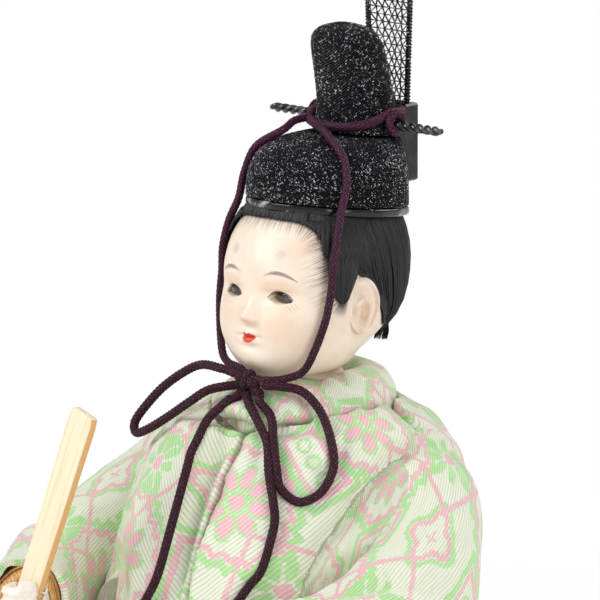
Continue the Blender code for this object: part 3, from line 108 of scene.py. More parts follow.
# Lower edge of the hair: angle from the front as a share of a half turn, height as a share of the head
HAIRLINE = [
    (0.000, 0.764), (0.190, 0.748), (0.270, 0.690), (0.330, 0.570), (0.390, 0.515), (0.450, 0.503),
    (0.485, 0.426), (0.515, 0.335), (0.550, 0.265), (0.620, 0.228), (0.780, 0.205), (1.000, 0.190),
]
HAIR_GAP, HAIR_FRONT_THICK, HAIR_SIDE_THICK = 0.0004, 0.0006, 0.0008

# Crown
CROWN_TILT = 0.114
CAP_Z, CAP_HEIGHT, CAP_CENTRE_Y = 0.17083, 0.0134, 0.0039
CAP_HALF_WIDTH, CAP_HALF_DEPTH = 0.0163, 0.0183
CAP_ROWS = [
    (0.00, 1.000, 1.000, 0.000), (0.20, 1.000, 0.995, 0.005), (0.42, 0.985, 0.975, 0.020),
    (0.62, 0.940, 0.930, 0.060), (0.80, 0.860, 0.845, 0.145), (0.92, 0.740, 0.715, 0.270),
    (1.00, 0.560, 0.545, 0.430),
]
RIM_HEIGHT, RIM_WALL, CAP_WALL, GAP = 0.0018, 0.0011, 0.0008, 0.0003
KOJI_Z, KOJI_HEIGHT, KOJI_BASE_Y, KOJI_LEAN = 0.18453, 0.0242, 0.0132, 0.0045
KOJI_HALF_WIDTH, KOJI_HALF_DEPTH, KOJI_DENT = 0.0082, 0.0074, 0.0006
KOJI_ROWS = [
    (0.00, 1.07, 1.14, 0.00), (0.10, 1.02, 1.05, 0.00), (0.26, 1.00, 1.00, 0.03), (0.53, 0.98, 0.97, 0.33),
    (0.79, 0.94, 0.92, 0.66), (0.90, 0.82, 0.80, 0.84), (0.965, 0.58, 0.56, 0.93), (1.00, 0.20, 0.20, 0.97),
]
PIN_Z, PIN_LENGTH, PIN_BEADED = 0.18713, 0.050, 0.0160

# Sleeve path: across, forward, top, bottom, half thickness and lean, as shares of the sizes below
SLEEVE_ROWS = [
    (0.60, -0.08, 0.000, 0.330, 0.76, 0.0), (0.81, 0.07, 0.055, 0.480, 0.93, 0.2),
    (0.95, 0.28, 0.160, 0.720, 1.00, 0.5), (0.99, 0.54, 0.255, 0.880, 0.99, 0.8),
    (0.94, 0.79, 0.320, 0.975, 0.95, 1.0), (0.81, 1.00, 0.355, 1.000, 0.92, 1.0),
]
SLEEVE_REACH_X, SLEEVE_REACH_Y, SLEEVE_TOP_Z, SLEEVE_HEIGHT = 0.043, 0.053, 0.1245, 0.0800
SLEEVE_HALF_THICKNESS, SLEEVE_LEAN, CLOTH_WALL, LINING_WALL = 0.0145, 0.010, 0.0014, 0.0010
HAND = {1: Vector((0.0290, -0.0610, 0.0870)), -1: Vector((-0.0290, -0.0610, 0.0870))}

# The brocade's repeat in millimetres, before the motifs' own size
REPEAT_ACROSS, REPEAT_ALONG = 31.0, 35.0

# Cords: routes in metres, as the part has them, with the way out of the knot in degrees and backward
CORD_RADIUS, CHIN_CORD_RADIUS = 0.0010, 0.00088
KNOT = Vector((0.0009, -0.0224, 0.1347))
KNOT_HALF = Vector((0.0028, 0.0022, 0.0028))
CHIN_ROUTE = [
    (0.0036, 0.0040, 0.1877), (0.0056, 0.0008, 0.1873), (0.0086, -0.0030, 0.1860),
    (0.0137, -0.0061, 0.1822), (0.0157, -0.0077, 0.1765), (0.0157, -0.0095, 0.1712),
    (0.0167, -0.0116, 0.1662), (0.0170, -0.0132, 0.1608), (0.0169, -0.0136, 0.1557),
    (0.0167, -0.0143, 0.1520), (0.0163, -0.0150, 0.1485), (0.0147, -0.0165, 0.1424),
    (0.0120, -0.0176, 0.1384), (0.0088, -0.0190, 0.1372), (0.0054, -0.0210, 0.1375),
]
CORD_ROUTES = [
    ("chin_cord_left", None, [
        (-0.0060, 0.0054, 0.1874), (-0.0024, 0.0024, 0.1872), (0.0017, 0.0004, 0.1867),
        (0.0074, -0.0028, 0.1854), (0.0107, -0.0043, 0.1839), (0.0129, -0.0050, 0.1818),
        (0.0142, -0.0059, 0.1791), (0.0153, -0.0071, 0.1765), (0.0155, -0.0091, 0.1712)] + CHIN_ROUTE[6:-3]
        + [(0.0122, -0.0174, 0.1377), (0.0092, -0.0196, 0.1360), (0.0060, -0.0216, 0.1354)], (8.0, 1.4)),
    ("chin_cord_right", None, [(-0.0076, 0.0066, 0.1876), (-0.0080, 0.0022, 0.1873)]
        + [(0.0014 - x, y + 0.0007, z) for x, y, z in CHIN_ROUTE[2:-3]]
        + [(-0.0112, -0.0174, 0.1385), (-0.0080, -0.0192, 0.1372), (-0.0046, -0.0204, 0.1370)], (150.0, 1.4)),
    ("bow_loop_left", (12.0, 0.2), [
        (0.0064, -0.0231, 0.1347), (0.0092, -0.0205, 0.1343), (0.0125, -0.0178, 0.1332),
        (0.0173, -0.0176, 0.1296), (0.0230, -0.0206, 0.1246), (0.0262, -0.0234, 0.1195),
        (0.0260, -0.0272, 0.1147), (0.0231, -0.0309, 0.1128), (0.0194, -0.0326, 0.1155),
        (0.0171, -0.0314, 0.1193), (0.0135, -0.0284, 0.1245), (0.0097, -0.0250, 0.1285),
        (0.0062, -0.0246, 0.1312),
    ], (-30.0, -0.6)),
    ("bow_tail_left", (-74.0, -1.6), [
        (0.0052, -0.0264, 0.1300), (0.0090, -0.0279, 0.1272), (0.0128, -0.0296, 0.1238),
        (0.0161, -0.0328, 0.1190), (0.0178, -0.0340, 0.1160), (0.0192, -0.0348, 0.1130),
        (0.0203, -0.0355, 0.1092), (0.0207, -0.0372, 0.1052), (0.0202, -0.0396, 0.0990),
        (0.0186, -0.0419, 0.0955), (0.0162, -0.0446, 0.0905), (0.0142, -0.0462, 0.0865),
        (0.0130, -0.0473, 0.0815), (0.0124, -0.0475, 0.0765), (0.0122, -0.0470, 0.0725),
    ], None),
    ("bow_tail_right", (-119.0, -1.3), [
        (-0.0022, -0.0254, 0.1306), (-0.0044, -0.0268, 0.1283), (-0.0054, -0.0290, 0.1260),
        (-0.0050, -0.0323, 0.1226), (-0.0047, -0.0346, 0.1202), (-0.0041, -0.0364, 0.1176),
        (-0.0031, -0.0402, 0.1114), (-0.0024, -0.0444, 0.1034), (-0.0029, -0.0476, 0.0950),
        (-0.0062, -0.0487, 0.0882), (-0.0098, -0.0482, 0.0818), (-0.0114, -0.0475, 0.0765),
        (-0.0120, -0.0468, 0.0725),
    ], None),
    ("bow_loop_right", (157.0, -0.6), [
        (-0.0060, -0.0237, 0.1368), (-0.0120, -0.0230, 0.1367), (-0.0170, -0.0230, 0.1346),
        (-0.0230, -0.0238, 0.1303), (-0.0282, -0.0243, 0.1250), (-0.0305, -0.0247, 0.1216),
        (-0.0295, -0.0252, 0.1196), (-0.0255, -0.0257, 0.1211), (-0.0195, -0.0260, 0.1246),
        (-0.0130, -0.0262, 0.1288), (-0.0082, -0.0250, 0.1320),
    ], (199.0, 0.4)),
]


WHITE = (1.0, 1.0, 1.0, 1.0)


def tone(code):
    """A colour as the shaders mix it, from its usual six-digit code."""
    values = [int(code[index:index + 2], 16) / 255 for index in (0, 2, 4)]
    return tuple(v / 12.92 if v <= 0.04045 else ((v + 0.055) / 1.055) ** 2.4 for v in values) + (1.0,)


def colour_setting(name, description, code):
    return bpy.props.FloatVectorProperty(name=name, description=description, subtype="COLOR", size=4,
                                         min=0.0, max=1.0, default=tone(code))


def length_setting(name, description, value):
    return bpy.props.FloatProperty(name=name, description=description, subtype="DISTANCE", unit="LENGTH",
                                   min=0.0, default=value, precision=5)


def share_setting(name, description, value):
    return bpy.props.FloatProperty(name=name, description=description, subtype="FACTOR", min=0.0,
                                   max=10.0, default=value)


class HinaStageSettings(bpy.types.PropertyGroup):
    """Camera, lamps and floor."""
    lens: bpy.props.FloatProperty(name="Lens", description="Focal length in millimetres", default=500.0)
    floor: colour_setting("Floor", "Colour of the floor", "F4F2EF")
    key_power: bpy.props.FloatProperty(name="Key lamp", description="Power in watts", default=3.8)
    fill_power: bpy.props.FloatProperty(name="Fill lamp", description="Power in watts", default=2.1)
    rim_power: bpy.props.FloatProperty(name="Back lamp", description="Power in watts", default=2.0)
    sky: share_setting("Sky", "Strength of the light from all round", 0.46)


class HinaCordSettings(bpy.types.PropertyGroup):
    """Braided silk cord."""
    dark: colour_setting("Cord", "Main colour of the cord", "2A0D18")
    fleck: colour_setting("Fleck", "Lighter strands of the braid", "8C4A64")
    pitch: length_setting("Braid pitch", "Length of one stitch of the braid", 0.00105)
    relief: share_setting("Relief", "Depth of the stitches as a share of the radius", 0.16)


class HinaFaceSettings(bpy.types.PropertyGroup):
    """Skin, paint and eyes."""
    skin: colour_setting("Skin", "Colour of the polished shell white", "F3E2D0")
    blush: colour_setting("Blush", "Warmer colour round the features", "E2B795")
    lips: colour_setting("Lips", "Red of the mouth", "DC4630")
    brow: colour_setting("Brow", "Thin ink of the brows", "6F5D55")
    iris: colour_setting("Eye", "Colour of the eye glass", "3C2D2C")
    ear_height: length_setting("Ear", "Half height of an ear", 0.0062)


class HinaHairSettings(bpy.types.PropertyGroup):
    """Hair of black silk thread."""
    black: colour_setting("Hair", "Colour of the hair", "0D0C0E")
    gleam: colour_setting("Gleam", "Colour of the lit strands", "2E2B30")
    strand: length_setting("Strand", "Radius of one lock of threads", 0.00016)
    count: bpy.props.IntProperty(name="Strands", description="Locks of threads on the head", default=760)


class HinaCrownSettings(bpy.types.PropertyGroup):
    """Lacquered gauze crown."""
    gauze: colour_setting("Gauze", "Colour of the lacquered threads", "19191D")
    glint: colour_setting("Glint", "Colour of the lit crossings", "F0EEF4")
    lacquer: colour_setting("Lacquer", "Colour of the lacquered fittings", "101012")
    pitch: length_setting("Mesh pitch", "Spacing of the gauze threads", 0.00078)
    thread: length_setting("Thread", "Thickness of a gauze thread", 0.00027)


class HinaClothSettings(bpy.types.PropertyGroup):
    """Brocade robe and its linings."""
    ground: colour_setting("Ground", "Ivory ground of the brocade", "E6ECD6")
    # Ribs: painted shade, the darker colour laid into the grooves between the twill ribs
    shade: colour_setting("Ribs", "Colour seen between the ribs", "9E9B84")
    green: colour_setting("Green", "Leaf green of the motifs", "A2DE8A")
    pink: colour_setting("Pink", "Rose of the motifs", "EDAABA")
    gold: colour_setting("Gold", "Gold weave of the inner sleeves", "D9A665")
    white: colour_setting("White silk", "Trousers", "EEEAE2")
    motif: share_setting("Motif size", "Size of the woven motifs", 1.2)
    rib: length_setting("Rib pitch", "Spacing of the twill ribs", 0.00082)
    voxel: length_setting("Cloth mesh", "Size of the cloth's mesh before the folds", 0.0012)
    swell: length_setting("Swell", "The most that the padding moves the cloth", 0.0009)
    pressure: share_setting("Pressure", "Push of the padding", 4.0)


class HinaWoodSettings(bpy.types.PropertyGroup):
    """Baton, seat and hidden parts."""
    pale: colour_setting("Baton", "Pale wood of the baton", "F7EACB")
    # Edge: painted shade, the darker colour given to the baton's narrow side faces
    edge: colour_setting("Edge", "Sawn edges of the baton", "E3B174")
    grain: colour_setting("Grain", "Darker lines of the wood", "DDB57C")
    straw: colour_setting("Straw", "Straw of the core", "C9AE73")


def settings(kind):
    return getattr(bpy.context.scene, "hina_" + kind)


def deselect():
    if bpy.context.object is not None and bpy.context.object.mode != "OBJECT":
        bpy.ops.object.mode_set(mode="OBJECT")
    bpy.ops.object.select_all(action="DESELECT")


def choose(piece):
    deselect()
    piece.select_set(True)
    bpy.context.view_layer.objects.active = piece
    return piece


def named(name):
    piece = bpy.context.active_object
    piece.name = name
    piece.data.name = name
    return piece


def apply(piece, kind, **values):
    """The piece with one modifier added and applied."""
    choose(piece)
    modifier = piece.modifiers.new(kind.lower(), kind)
    for name, value in values.items():
        setattr(modifier, name, value)
    bpy.ops.object.modifier_apply(modifier=modifier.name)
    return piece


def edit(piece, *steps):
    """Runs edit-mode steps on all of the piece's faces."""
    choose(piece)
    bpy.ops.object.mode_set(mode="EDIT")
    bpy.ops.mesh.select_mode(type="VERT")
    bpy.ops.mesh.select_all(action="SELECT")
    for step in steps:
        step()
    bpy.ops.object.mode_set(mode="OBJECT")
    return piece


def weld(piece, distance=2e-5):
    return edit(piece, lambda: bpy.ops.mesh.remove_doubles(threshold=distance),
                lambda: bpy.ops.mesh.normals_make_consistent(inside=False))


def cap_ends(piece):
    return edit(piece, lambda: bpy.ops.mesh.select_all(action="DESELECT"),
                lambda: bpy.ops.mesh.select_non_manifold(extend=False),
                lambda: bpy.ops.mesh.fill_holes(sides=0),
                lambda: bpy.ops.mesh.select_all(action="SELECT"),
                lambda: bpy.ops.mesh.normals_make_consistent(inside=False))


def shade(piece, angle=0.7):
    choose(piece)
    bpy.ops.object.shade_smooth_by_angle(angle=angle)
    return piece


def delete_faces(piece, wanted):
    edit(piece, lambda: bpy.ops.mesh.select_mode(type="FACE"),
         lambda: bpy.ops.mesh.select_all(action="DESELECT"))
    for face in piece.data.polygons:
        face.select = wanted(face)
    bpy.ops.object.mode_set(mode="EDIT")
    bpy.ops.mesh.delete(type="FACE")
    bpy.ops.object.mode_set(mode="OBJECT")
    return piece


def joined(first, *others):
    """The pieces as one, which keeps the first one's name."""
    choose(first)
    for other in others:
        other.select_set(True)
    bpy.ops.object.join()
    return first


def add_object(name, data):
    thing = bpy.data.objects.new(name, data)
    bpy.context.scene.collection.objects.link(thing)
    return thing


def add_mesh(name, corners, faces):
    mesh = bpy.data.meshes.new(name)
    mesh.from_pydata([tuple(corner) for corner in corners], [], faces)
    return add_object(name, mesh)


def stretch_map(piece, across, along, name="UVMap"):
    """Stretches a piece's own UV map and names it for the look that reads it."""
    layer = piece.data.uv_layers[0]
    layer.name = name
    for corner in layer.data:
        corner.uv = (corner.uv[0] * across, corner.uv[1] * along)
    return piece


def points_of(piece):
    values = np.empty(len(piece.data.vertices) * 3)
    piece.data.vertices.foreach_get("co", values)
    return values.reshape(-1, 3)


def normals_of(piece):
    values = np.empty(len(piece.data.vertices) * 3, np.float32)
    piece.data.vertices.foreach_get("normal", values)
    return values.reshape(-1, 3).astype(float)


def put_points(piece, places):
    piece.data.vertices.foreach_set("co", np.asarray(places, np.float32).ravel())
    piece.data.update()


def sheet_of(name, columns, rows, place):
    """A sheet laid from a grid primitive: place(u, v) gives each corner, and u and v stay as its UV map."""
    deselect()
    bpy.ops.mesh.primitive_grid_add(x_subdivisions=columns, y_subdivisions=rows, size=2.0, calc_uvs=True)
    piece = named(name)
    places = [place((x + 1) / 2, (y + 1) / 2) for x, y, _ in points_of(piece)]
    put_points(piece, [tuple(point) for point in places])
    return piece


def spans_of(points):
    """How far along a line each of its points lies."""
    spans = [0.0]
    for a, b in zip(points, points[1:]):
        spans.append(spans[-1] + (b - a).length)
    return spans


def angles(count, turns=1):
    """The angles of a ring or coil, from its first point to its last, with count steps in each turn."""
    return [2 * math.pi * index / count for index in range(count * turns + 1)]


def tube_of(name, points, radius, columns=16, relief=None, closed=False):
    """A braid, wire or thread along evenly spaced points; relief(u, length) changes its radius."""
    points = [Vector(point) for point in points]
    count = len(points)
    spans = spans_of(points)
    tangents, sides = [], []
    for index in range(count):
        if closed:
            ahead, behind = points[(index + 1) % (count - 1)], points[(index - 1) % (count - 1)]
        else:
            ahead, behind = points[min(index + 1, count - 1)], points[max(index - 1, 0)]
        tangents.append((ahead - behind).normalized())
    side = tangents[0].orthogonal().normalized()
    for tangent in tangents:
        side = (side - tangent * side.dot(tangent)).normalized()
        sides.append(side.copy())

    def place(u, v):
        index = min(int(round(v * (count - 1))), count - 1)
        angle = 2 * math.pi * u
        reach = radius * (1 + (relief(u, spans[index]) if relief else 0.0))
        across = sides[index] * math.cos(angle) + tangents[index].cross(sides[index]) * math.sin(angle)
        return points[index] + across * reach

    piece = sheet_of(name, columns, count - 1, place)
    stretch_map(piece, 2 * math.pi * radius / MM, spans[-1] / MM)
    weld(piece, radius * 0.01)
    if not closed:
        cap_ends(piece)
    return shade(piece, 1.2)


def cad_copy(name, node):
    """A new piece that starts from the form of a CAD node, with its triangles joined."""
    deselect()
    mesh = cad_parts[node].data.copy()
    mesh.materials.clear()
    mesh.name = name
    piece = choose(add_object(name, mesh))
    bpy.ops.mesh.customdata_custom_splitnormals_clear()
    return weld(piece)


def fit(piece, body, finish, slot, *nodes):
    """Gives a finished piece its material and its body, and hides the nodes that it stands for; the slot is not used.
    """
    piece.data.materials.clear()
    piece.data.materials.append(look(finish))
    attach(piece, body)
    if nodes:
        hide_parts(*nodes)
    return piece


def finish_nodes(finish, *nodes):
    for node in nodes:
        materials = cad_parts[node].data.materials
        materials.clear()
        materials.append(look(finish))


def blended(rows, place):
    """Row of a table at a place, with a smooth curve through the rows."""
    last = len(rows) - 1
    index = 0
    while index < last - 1 and rows[index + 1][0] < place:
        index += 1
    low, high = rows[index], rows[index + 1]
    before, after = rows[max(index - 1, 0)], rows[min(index + 2, last)]
    span = high[0] - low[0]
    t = min(max((place - low[0]) / span, 0.0), 1.0)
    t2, t3 = t * t, t * t * t
    values = []
    for column in range(1, len(low)):
        slope_low = (high[column] - before[column]) / (high[0] - before[0])
        slope_high = (after[column] - low[column]) / (after[0] - low[0])
        value = (2 * t3 - 3 * t2 + 1) * low[column] + (t3 - 2 * t2 + t) * span * slope_low
        values.append(value + (3 * t2 - 2 * t3) * high[column] + (t3 - t2) * span * slope_high)
    return values


def rounded(value, power):
    return math.copysign(abs(value) ** (2 / power), value)


def ring_point(turn, centre, half_width, depth, power, z, tilt=0.0):
    across, along = rounded(math.sin(turn), power), rounded(-math.cos(turn), power)
    y = depth * along
    return Vector((half_width * across, centre + y, z - tilt * y))


def cap_point(turn, height, outward=0.0, drop=0.0):
    wide, deep, centre = blended(CAP_ROWS, height)
    return ring_point(turn, CAP_CENTRE_Y + centre * CAP_HALF_DEPTH, wide * CAP_HALF_WIDTH + outward,
                      deep * CAP_HALF_DEPTH + outward, 2.1, CAP_Z + height * CAP_HEIGHT - drop, CROWN_TILT)


def koji_point(turn, height, outward=0.0):
    wide, deep, lean = blended(KOJI_ROWS, height)
    from_front = abs(turn if turn <= math.pi else turn - 2 * math.pi)
    dent = math.exp(-((from_front - 1.10) / 0.32) ** 2) * math.exp(-((height - 0.56) / 0.26) ** 2)
    outward -= KOJI_DENT * dent
    return ring_point(turn, KOJI_BASE_Y - lean * KOJI_LEAN, wide * KOJI_HALF_WIDTH + outward,
                      deep * KOJI_HALF_DEPTH + outward, 2.5, KOJI_Z + height * KOJI_HEIGHT,
                      CROWN_TILT * (1 - height))


def head_point(turn, height, outward=0.0, face=True):
    """A point on the head, at an angle from the front and a share of its height, moved outward."""
    half_width, front, back = blended(HEAD_ROWS, height)
    across, along = rounded(math.sin(turn), HEAD_POWER), rounded(-math.cos(turn), HEAD_POWER)
    if height < 0.344:
        share = min(max((along + 0.5) / 0.8, 0.0), 1.0)
        half_width *= 1 + (blended(NAPE_ROWS, height)[0] - 1) * share * share * (3 - 2 * share)
    x = half_width * HEAD_HALF_WIDTH * across
    y = (back * HEAD_BACK if along > 0 else front * HEAD_FRONT) * along
    z = CHIN_Z + height * HEAD_HEIGHT
    if along < 0 and face:
        facing = min(1.0, -along * 1.6)
        for at_x, at_z, rise, spread_x, spread_z in FACE_FORMS:
            dx, dz = (x / MM - at_x) / spread_x, (z / MM - at_z) / spread_z
            y -= facing * rise * MM * math.exp(-0.5 * (dx * dx + dz * dz))
    flat = Vector((x, y, 0.0))
    if flat.length > 0:
        flat += flat.normalized() * outward
    return Vector((flat.x, flat.y, z))


def hair_edge(turn):
    return blended(HAIRLINE, min(abs(turn) / math.pi, 1.0))[0]


def hair_thick(turn):
    back = (1 - math.cos(turn)) / 2
    return HAIR_FRONT_THICK + (HAIR_SIDE_THICK - HAIR_FRONT_THICK) * min(back, 0.5) / 0.5


def sleeve_row(place):
    rows = [(index / (len(SLEEVE_ROWS) - 1), *row) for index, row in enumerate(SLEEVE_ROWS)]
    across, forward, top, bottom, thick, lean = blended(rows, place)
    return (across * SLEEVE_REACH_X, -forward * SLEEVE_REACH_Y, SLEEVE_TOP_Z - top * SLEEVE_HEIGHT,
            SLEEVE_TOP_Z - bottom * SLEEVE_HEIGHT, thick * SLEEVE_HALF_THICKNESS, lean * SLEEVE_LEAN)


def sleeve_point(place, angle, side, inward=0.0):
    """A point of the sleeve's outer face, along its length and round it."""
    x, y, top, bottom, thick, lean = sleeve_row(place)
    step = 0.01
    a, b = sleeve_row(min(place + step, 1.0)), sleeve_row(max(place - step, 0.0))
    along = Vector((side * (a[0] - b[0]), a[1] - b[1], 0.0)).normalized()
    outward = Vector((-along.y, along.x, 0.0)) * side
    top, bottom = top - inward, bottom + inward
    level = rounded(math.sin(angle), 2.3)
    wide = (thick * (0.80 + 0.20 * level) - inward) * math.cos(angle)
    offset = outward * (wide + lean * (1 - level) / 2)
    return Vector((side * x + offset.x, y + offset.y, (top + bottom) / 2 + (top - bottom) / 2 * level))


def forearm(side):
    a, b = sleeve_row(1.0), sleeve_row(0.8)
    return Vector((side * (a[0] - b[0]), a[1] - b[1], 0.0)).normalized()


def curve_through(points, spacing):
    """Evenly spaced points on a smooth curve through the points given."""
    points = [Vector(point) for point in points]
    fine = []
    for index in range(len(points) - 1):
        before, after = points[max(index - 1, 0)], points[min(index + 2, len(points) - 1)]
        low, high = points[index], points[index + 1]
        for part in range(40):
            t = part / 40
            fine.append(0.5 * (2 * low + (high - before) * t
                               + (2 * before - 5 * low + 4 * high - after) * t ** 2
                               + (3 * low - before - 3 * high + after) * t ** 3))
    fine.append(points[-1])
    spans = spans_of(fine)
    wanted = np.linspace(0.0, spans[-1], max(3, round(spans[-1] / spacing)) + 1)
    columns = np.array([tuple(point) for point in fine]).T
    return [Vector(row) for row in np.stack([np.interp(wanted, spans, column) for column in columns], axis=1)]


def on_picture(places):
    """Where points fall in the 600 by 600 picture, in its own pixels."""
    return np.stack([PICTURE_ZERO[0] + PICTURE_SCALE * (places @ np.array(CAMERA_RIGHT)),
                     PICTURE_ZERO[1] - PICTURE_SCALE * (places @ np.array(CAMERA_UP))], axis=1)


def beside(seen, a, b):
    """How far points lie along the line from a to b, as a share of it, and how far from it."""
    d = b - a
    t = np.clip(((seen - a) @ d) / (d @ d), 0.0, 1.0)
    return t, np.linalg.norm(seen - a - t[:, None] * d, axis=1)


def fold(piece, lines):
    """Presses folds into cloth along lines drawn on the picture, and the same folds on the other side.
    Each line is a depth and a width in millimetres and its points; the cloth swells beside it."""
    places, normals = points_of(piece), normals_of(piece)
    move = np.zeros(len(places))
    for mirror in (1.0, -1.0):
        flip = np.array([mirror, 1.0, 1.0])
        seen = on_picture(places * flip)
        facing = np.clip(((normals * flip) @ np.array(CAMERA_BACK) - 0.02) * 5.0, 0.0, 1.0)
        for depth, width, route in lines:
            route = np.array(route, float)
            best, share = np.full(len(places), 1e9), np.zeros(len(places))
            for index, (a, b) in enumerate(zip(route, route[1:])):
                t, gap = beside(seen, a, b)
                share = np.where(gap < best, (index + t) / (len(route) - 1), share)
                best = np.minimum(best, gap)
            near = best / PIXELS_PER_MM / width
            fade = np.sin(np.pi * np.clip(0.12 + 0.76 * share, 0.0, 1.0))
            form = -np.exp(-near ** 2) + 0.46 * np.exp(-((near - 2.2) / 1.0) ** 2)
            move += form * depth * MM * fade * facing
    put_points(piece, places + normals * move[:, None])
    return piece


def soften(piece, amount, seed, reach=7.0):
    """Slow unevenness of padded cloth, along its normals."""
    places, normals = points_of(piece), normals_of(piece)
    shift = Vector((seed * 1.7, seed * 0.9, seed * 2.3))
    rise = np.array([noise.noise(Vector(place) / (reach * MM) + shift) for place in places])
    put_points(piece, places + normals * (rise * amount)[:, None])
    return piece


def padded_swell(piece, cap):
    """Blows the closed cloth up a little by simulation, as its padding does, and holds it near its form.
    It is simulated at ten times its size, and never moves by more than its cap."""
    start, scale, steps = points_of(piece), 10.0, 14
    put_points(piece, start * scale)
    choose(piece)
    modifier = piece.modifiers.new("padding", "CLOTH")
    values = modifier.settings
    values.use_pressure = True
    values.uniform_pressure_force = settings("cloth").pressure
    values.effector_weights.gravity = 0.0
    values.quality = 4
    values.mass = 0.25
    values.tension_stiffness = values.compression_stiffness = 12.0
    values.bending_stiffness = 0.5
    modifier.collision_settings.use_collision = False
    modifier.collision_settings.use_self_collision = False
    scene = bpy.context.scene
    for step in range(1, steps + 1):
        scene.frame_set(step)
    bpy.ops.object.modifier_apply(modifier=modifier.name)
    scene.frame_set(1)
    move = points_of(piece) / scale - start
    length = np.linalg.norm(move, axis=1, keepdims=True)
    put_points(piece, start + move * np.minimum(1.0, cap / np.maximum(length, 1e-9)))
    return piece


def lay_cloth(piece, chart, weave=None):
    """Writes the cloth's own UV maps in millimetres, one for its motifs and one for its ribs; a chart
    gives across, along and the periods of the seam."""
    if weave is not None:
        lay_map(piece, "weave", weave)
    return lay_map(piece, "cloth", chart)


def lay_map(piece, name, chart):
    mesh = piece.data
    layer = mesh.uv_layers.get(name) or mesh.uv_layers.new(name=name)
    mesh.uv_layers.active = layer
    spots = [chart(Vector(place)) for place in points_of(piece)]
    for face in mesh.polygons:
        first = spots[mesh.loops[face.loop_start].vertex_index]
        for loop in face.loop_indices:
            across, along, period_across, period_along = spots[mesh.loops[loop].vertex_index]
            if period_across:
                across -= period_across * round((across - first[0]) / period_across)
            if period_along:
                along -= period_along * round((along - first[1]) / period_along)
            layer.data[loop].uv = (across, along)
    return piece


class Term:
    """A number that varies over a surface, so that shader sums read as plain sums."""

    def __init__(self, wiring, socket):
        self.wiring, self.socket = wiring, socket

    def with_(self, operation, *others):
        return Term(self.wiring, self.wiring.math(operation, self, *others))

    def __add__(self, other):
        return self.with_("ADD", other)

    def __sub__(self, other):
        return self.with_("SUBTRACT", other)

    def __mul__(self, other):
        return self.with_("MULTIPLY", other)

    def __rsub__(self, other):
        return (self * -1.0) + other

    def __truediv__(self, other):
        return self.with_("DIVIDE", other)

    def under(self, other):
        return self.with_("LESS_THAN", other)

    def away(self, middle=0.0):
        return (self - middle).with_("ABSOLUTE")

    def most(self, other):
        return self.with_("MAXIMUM", other)

    def least(self, other):
        return self.with_("MINIMUM", other)

    def power(self, other):
        return self.with_("POWER", other)

    def wrapped(self, size):
        """Distance from the nearest of places that lie a size apart."""
        return (self + size / 2).with_("FLOORED_MODULO", size) - size / 2


class Wiring:
    """The nodes of one material or group, added and joined in a line each."""

    def __init__(self, tree):
        self.tree = tree

    def add(self, kind, **values):
        node = self.tree.nodes.new(kind)
        for name, value in values.items():
            setattr(node, name, value)
        return node

    def join(self, value, socket):
        if isinstance(value, Term):
            value = value.socket
        if isinstance(value, bpy.types.NodeSocket):
            self.tree.links.new(value, socket)
        else:
            socket.default_value = value

    def math(self, operation, *values):
        node = self.add("ShaderNodeMath", operation=operation)
        for value, socket in zip(values, node.inputs):
            self.join(value, socket)
        return node.outputs[0]

    def term(self, socket):
        return Term(self, socket)

    def distance(self, x, y):
        return (x * x + y * y).with_("SQRT")

    def parts(self, vector):
        node = self.add("ShaderNodeSeparateXYZ")
        self.join(vector, node.inputs[0])
        return [Term(self, output) for output in node.outputs]

    def vector(self, x, y, z=0.0):
        node = self.add("ShaderNodeCombineXYZ")
        for value, socket in zip((x, y, z), node.inputs):
            self.join(value, socket)
        return node.outputs[0]

    def scaled(self, vector, scale):
        node = self.add("ShaderNodeMapping")
        self.join(vector, node.inputs["Vector"])
        node.inputs["Scale"].default_value = scale if hasattr(scale, "__len__") else (scale,) * 3
        return node.outputs[0]

    def ramp(self, value, low, high, start=0.0, end=1.0):
        node = self.add("ShaderNodeMapRange", interpolation_type="SMOOTHSTEP")
        for given, socket in zip((value, low, high, start, end), node.inputs):
            self.join(given, socket)
        return Term(self, node.outputs[0])

    def mix(self, share, first, second):
        node = self.add("ShaderNodeMix", data_type="RGBA")
        self.join(share, node.inputs[0])
        for value, socket in ((first, node.inputs[6]), (second, node.inputs[7])):
            self.join(tuple(value) if hasattr(value, "__len__") else value, socket)
        return node.outputs[2]

    def noise(self, vector, scale, detail=2.0, roughness=0.5):
        node = self.add("ShaderNodeTexNoise", noise_dimensions="3D")
        self.join(vector, node.inputs["Vector"])
        node.inputs["Scale"].default_value = scale
        node.inputs["Detail"].default_value = detail
        node.inputs["Roughness"].default_value = roughness
        return Term(self, node.outputs["Fac"])

    def group(self, name, **values):
        """The masks of a shared effect, in its own order."""
        node = self.add("ShaderNodeGroup", node_tree=bpy.data.node_groups[name])
        for key, value in values.items():
            self.join(value, node.inputs[key])
        return [Term(self, output) for output in node.outputs]

    def bump(self, height, distance, strength):
        node = self.add("ShaderNodeBump")
        self.join(height, node.inputs["Height"])
        node.inputs["Distance"].default_value = distance
        node.inputs["Strength"].default_value = strength
        return node.outputs["Normal"]

    def surface(self, shader, colour, roughness, height, distance, strength):
        """Joins a colour, a roughness and a relief, whose distance is in metres, to the shader."""
        self.join(colour, shader.inputs["Base Color"])
        self.join(roughness, shader.inputs["Roughness"])
        self.join(self.bump(height, distance, strength), shader.inputs["Normal"])


def new_group(name, inputs, outputs, fill):
    """A shared shader effect: fill is given the wiring and the inputs, and returns the outputs."""
    tree = bpy.data.node_groups.new(name, "ShaderNodeTree")
    for label, kind in inputs:
        tree.interface.new_socket(name=label, in_out="INPUT", socket_type="NodeSocket" + kind)
    for label in outputs:
        tree.interface.new_socket(name=label, in_out="OUTPUT", socket_type="NodeSocketFloat")
    wiring = Wiring(tree)
    source, result = wiring.add("NodeGroupInput"), wiring.add("NodeGroupOutput")
    made = fill(wiring, *[source.outputs[label] for label, _ in inputs])
    for value, label in zip(made, outputs):
        wiring.join(value, result.inputs[label])
    return tree


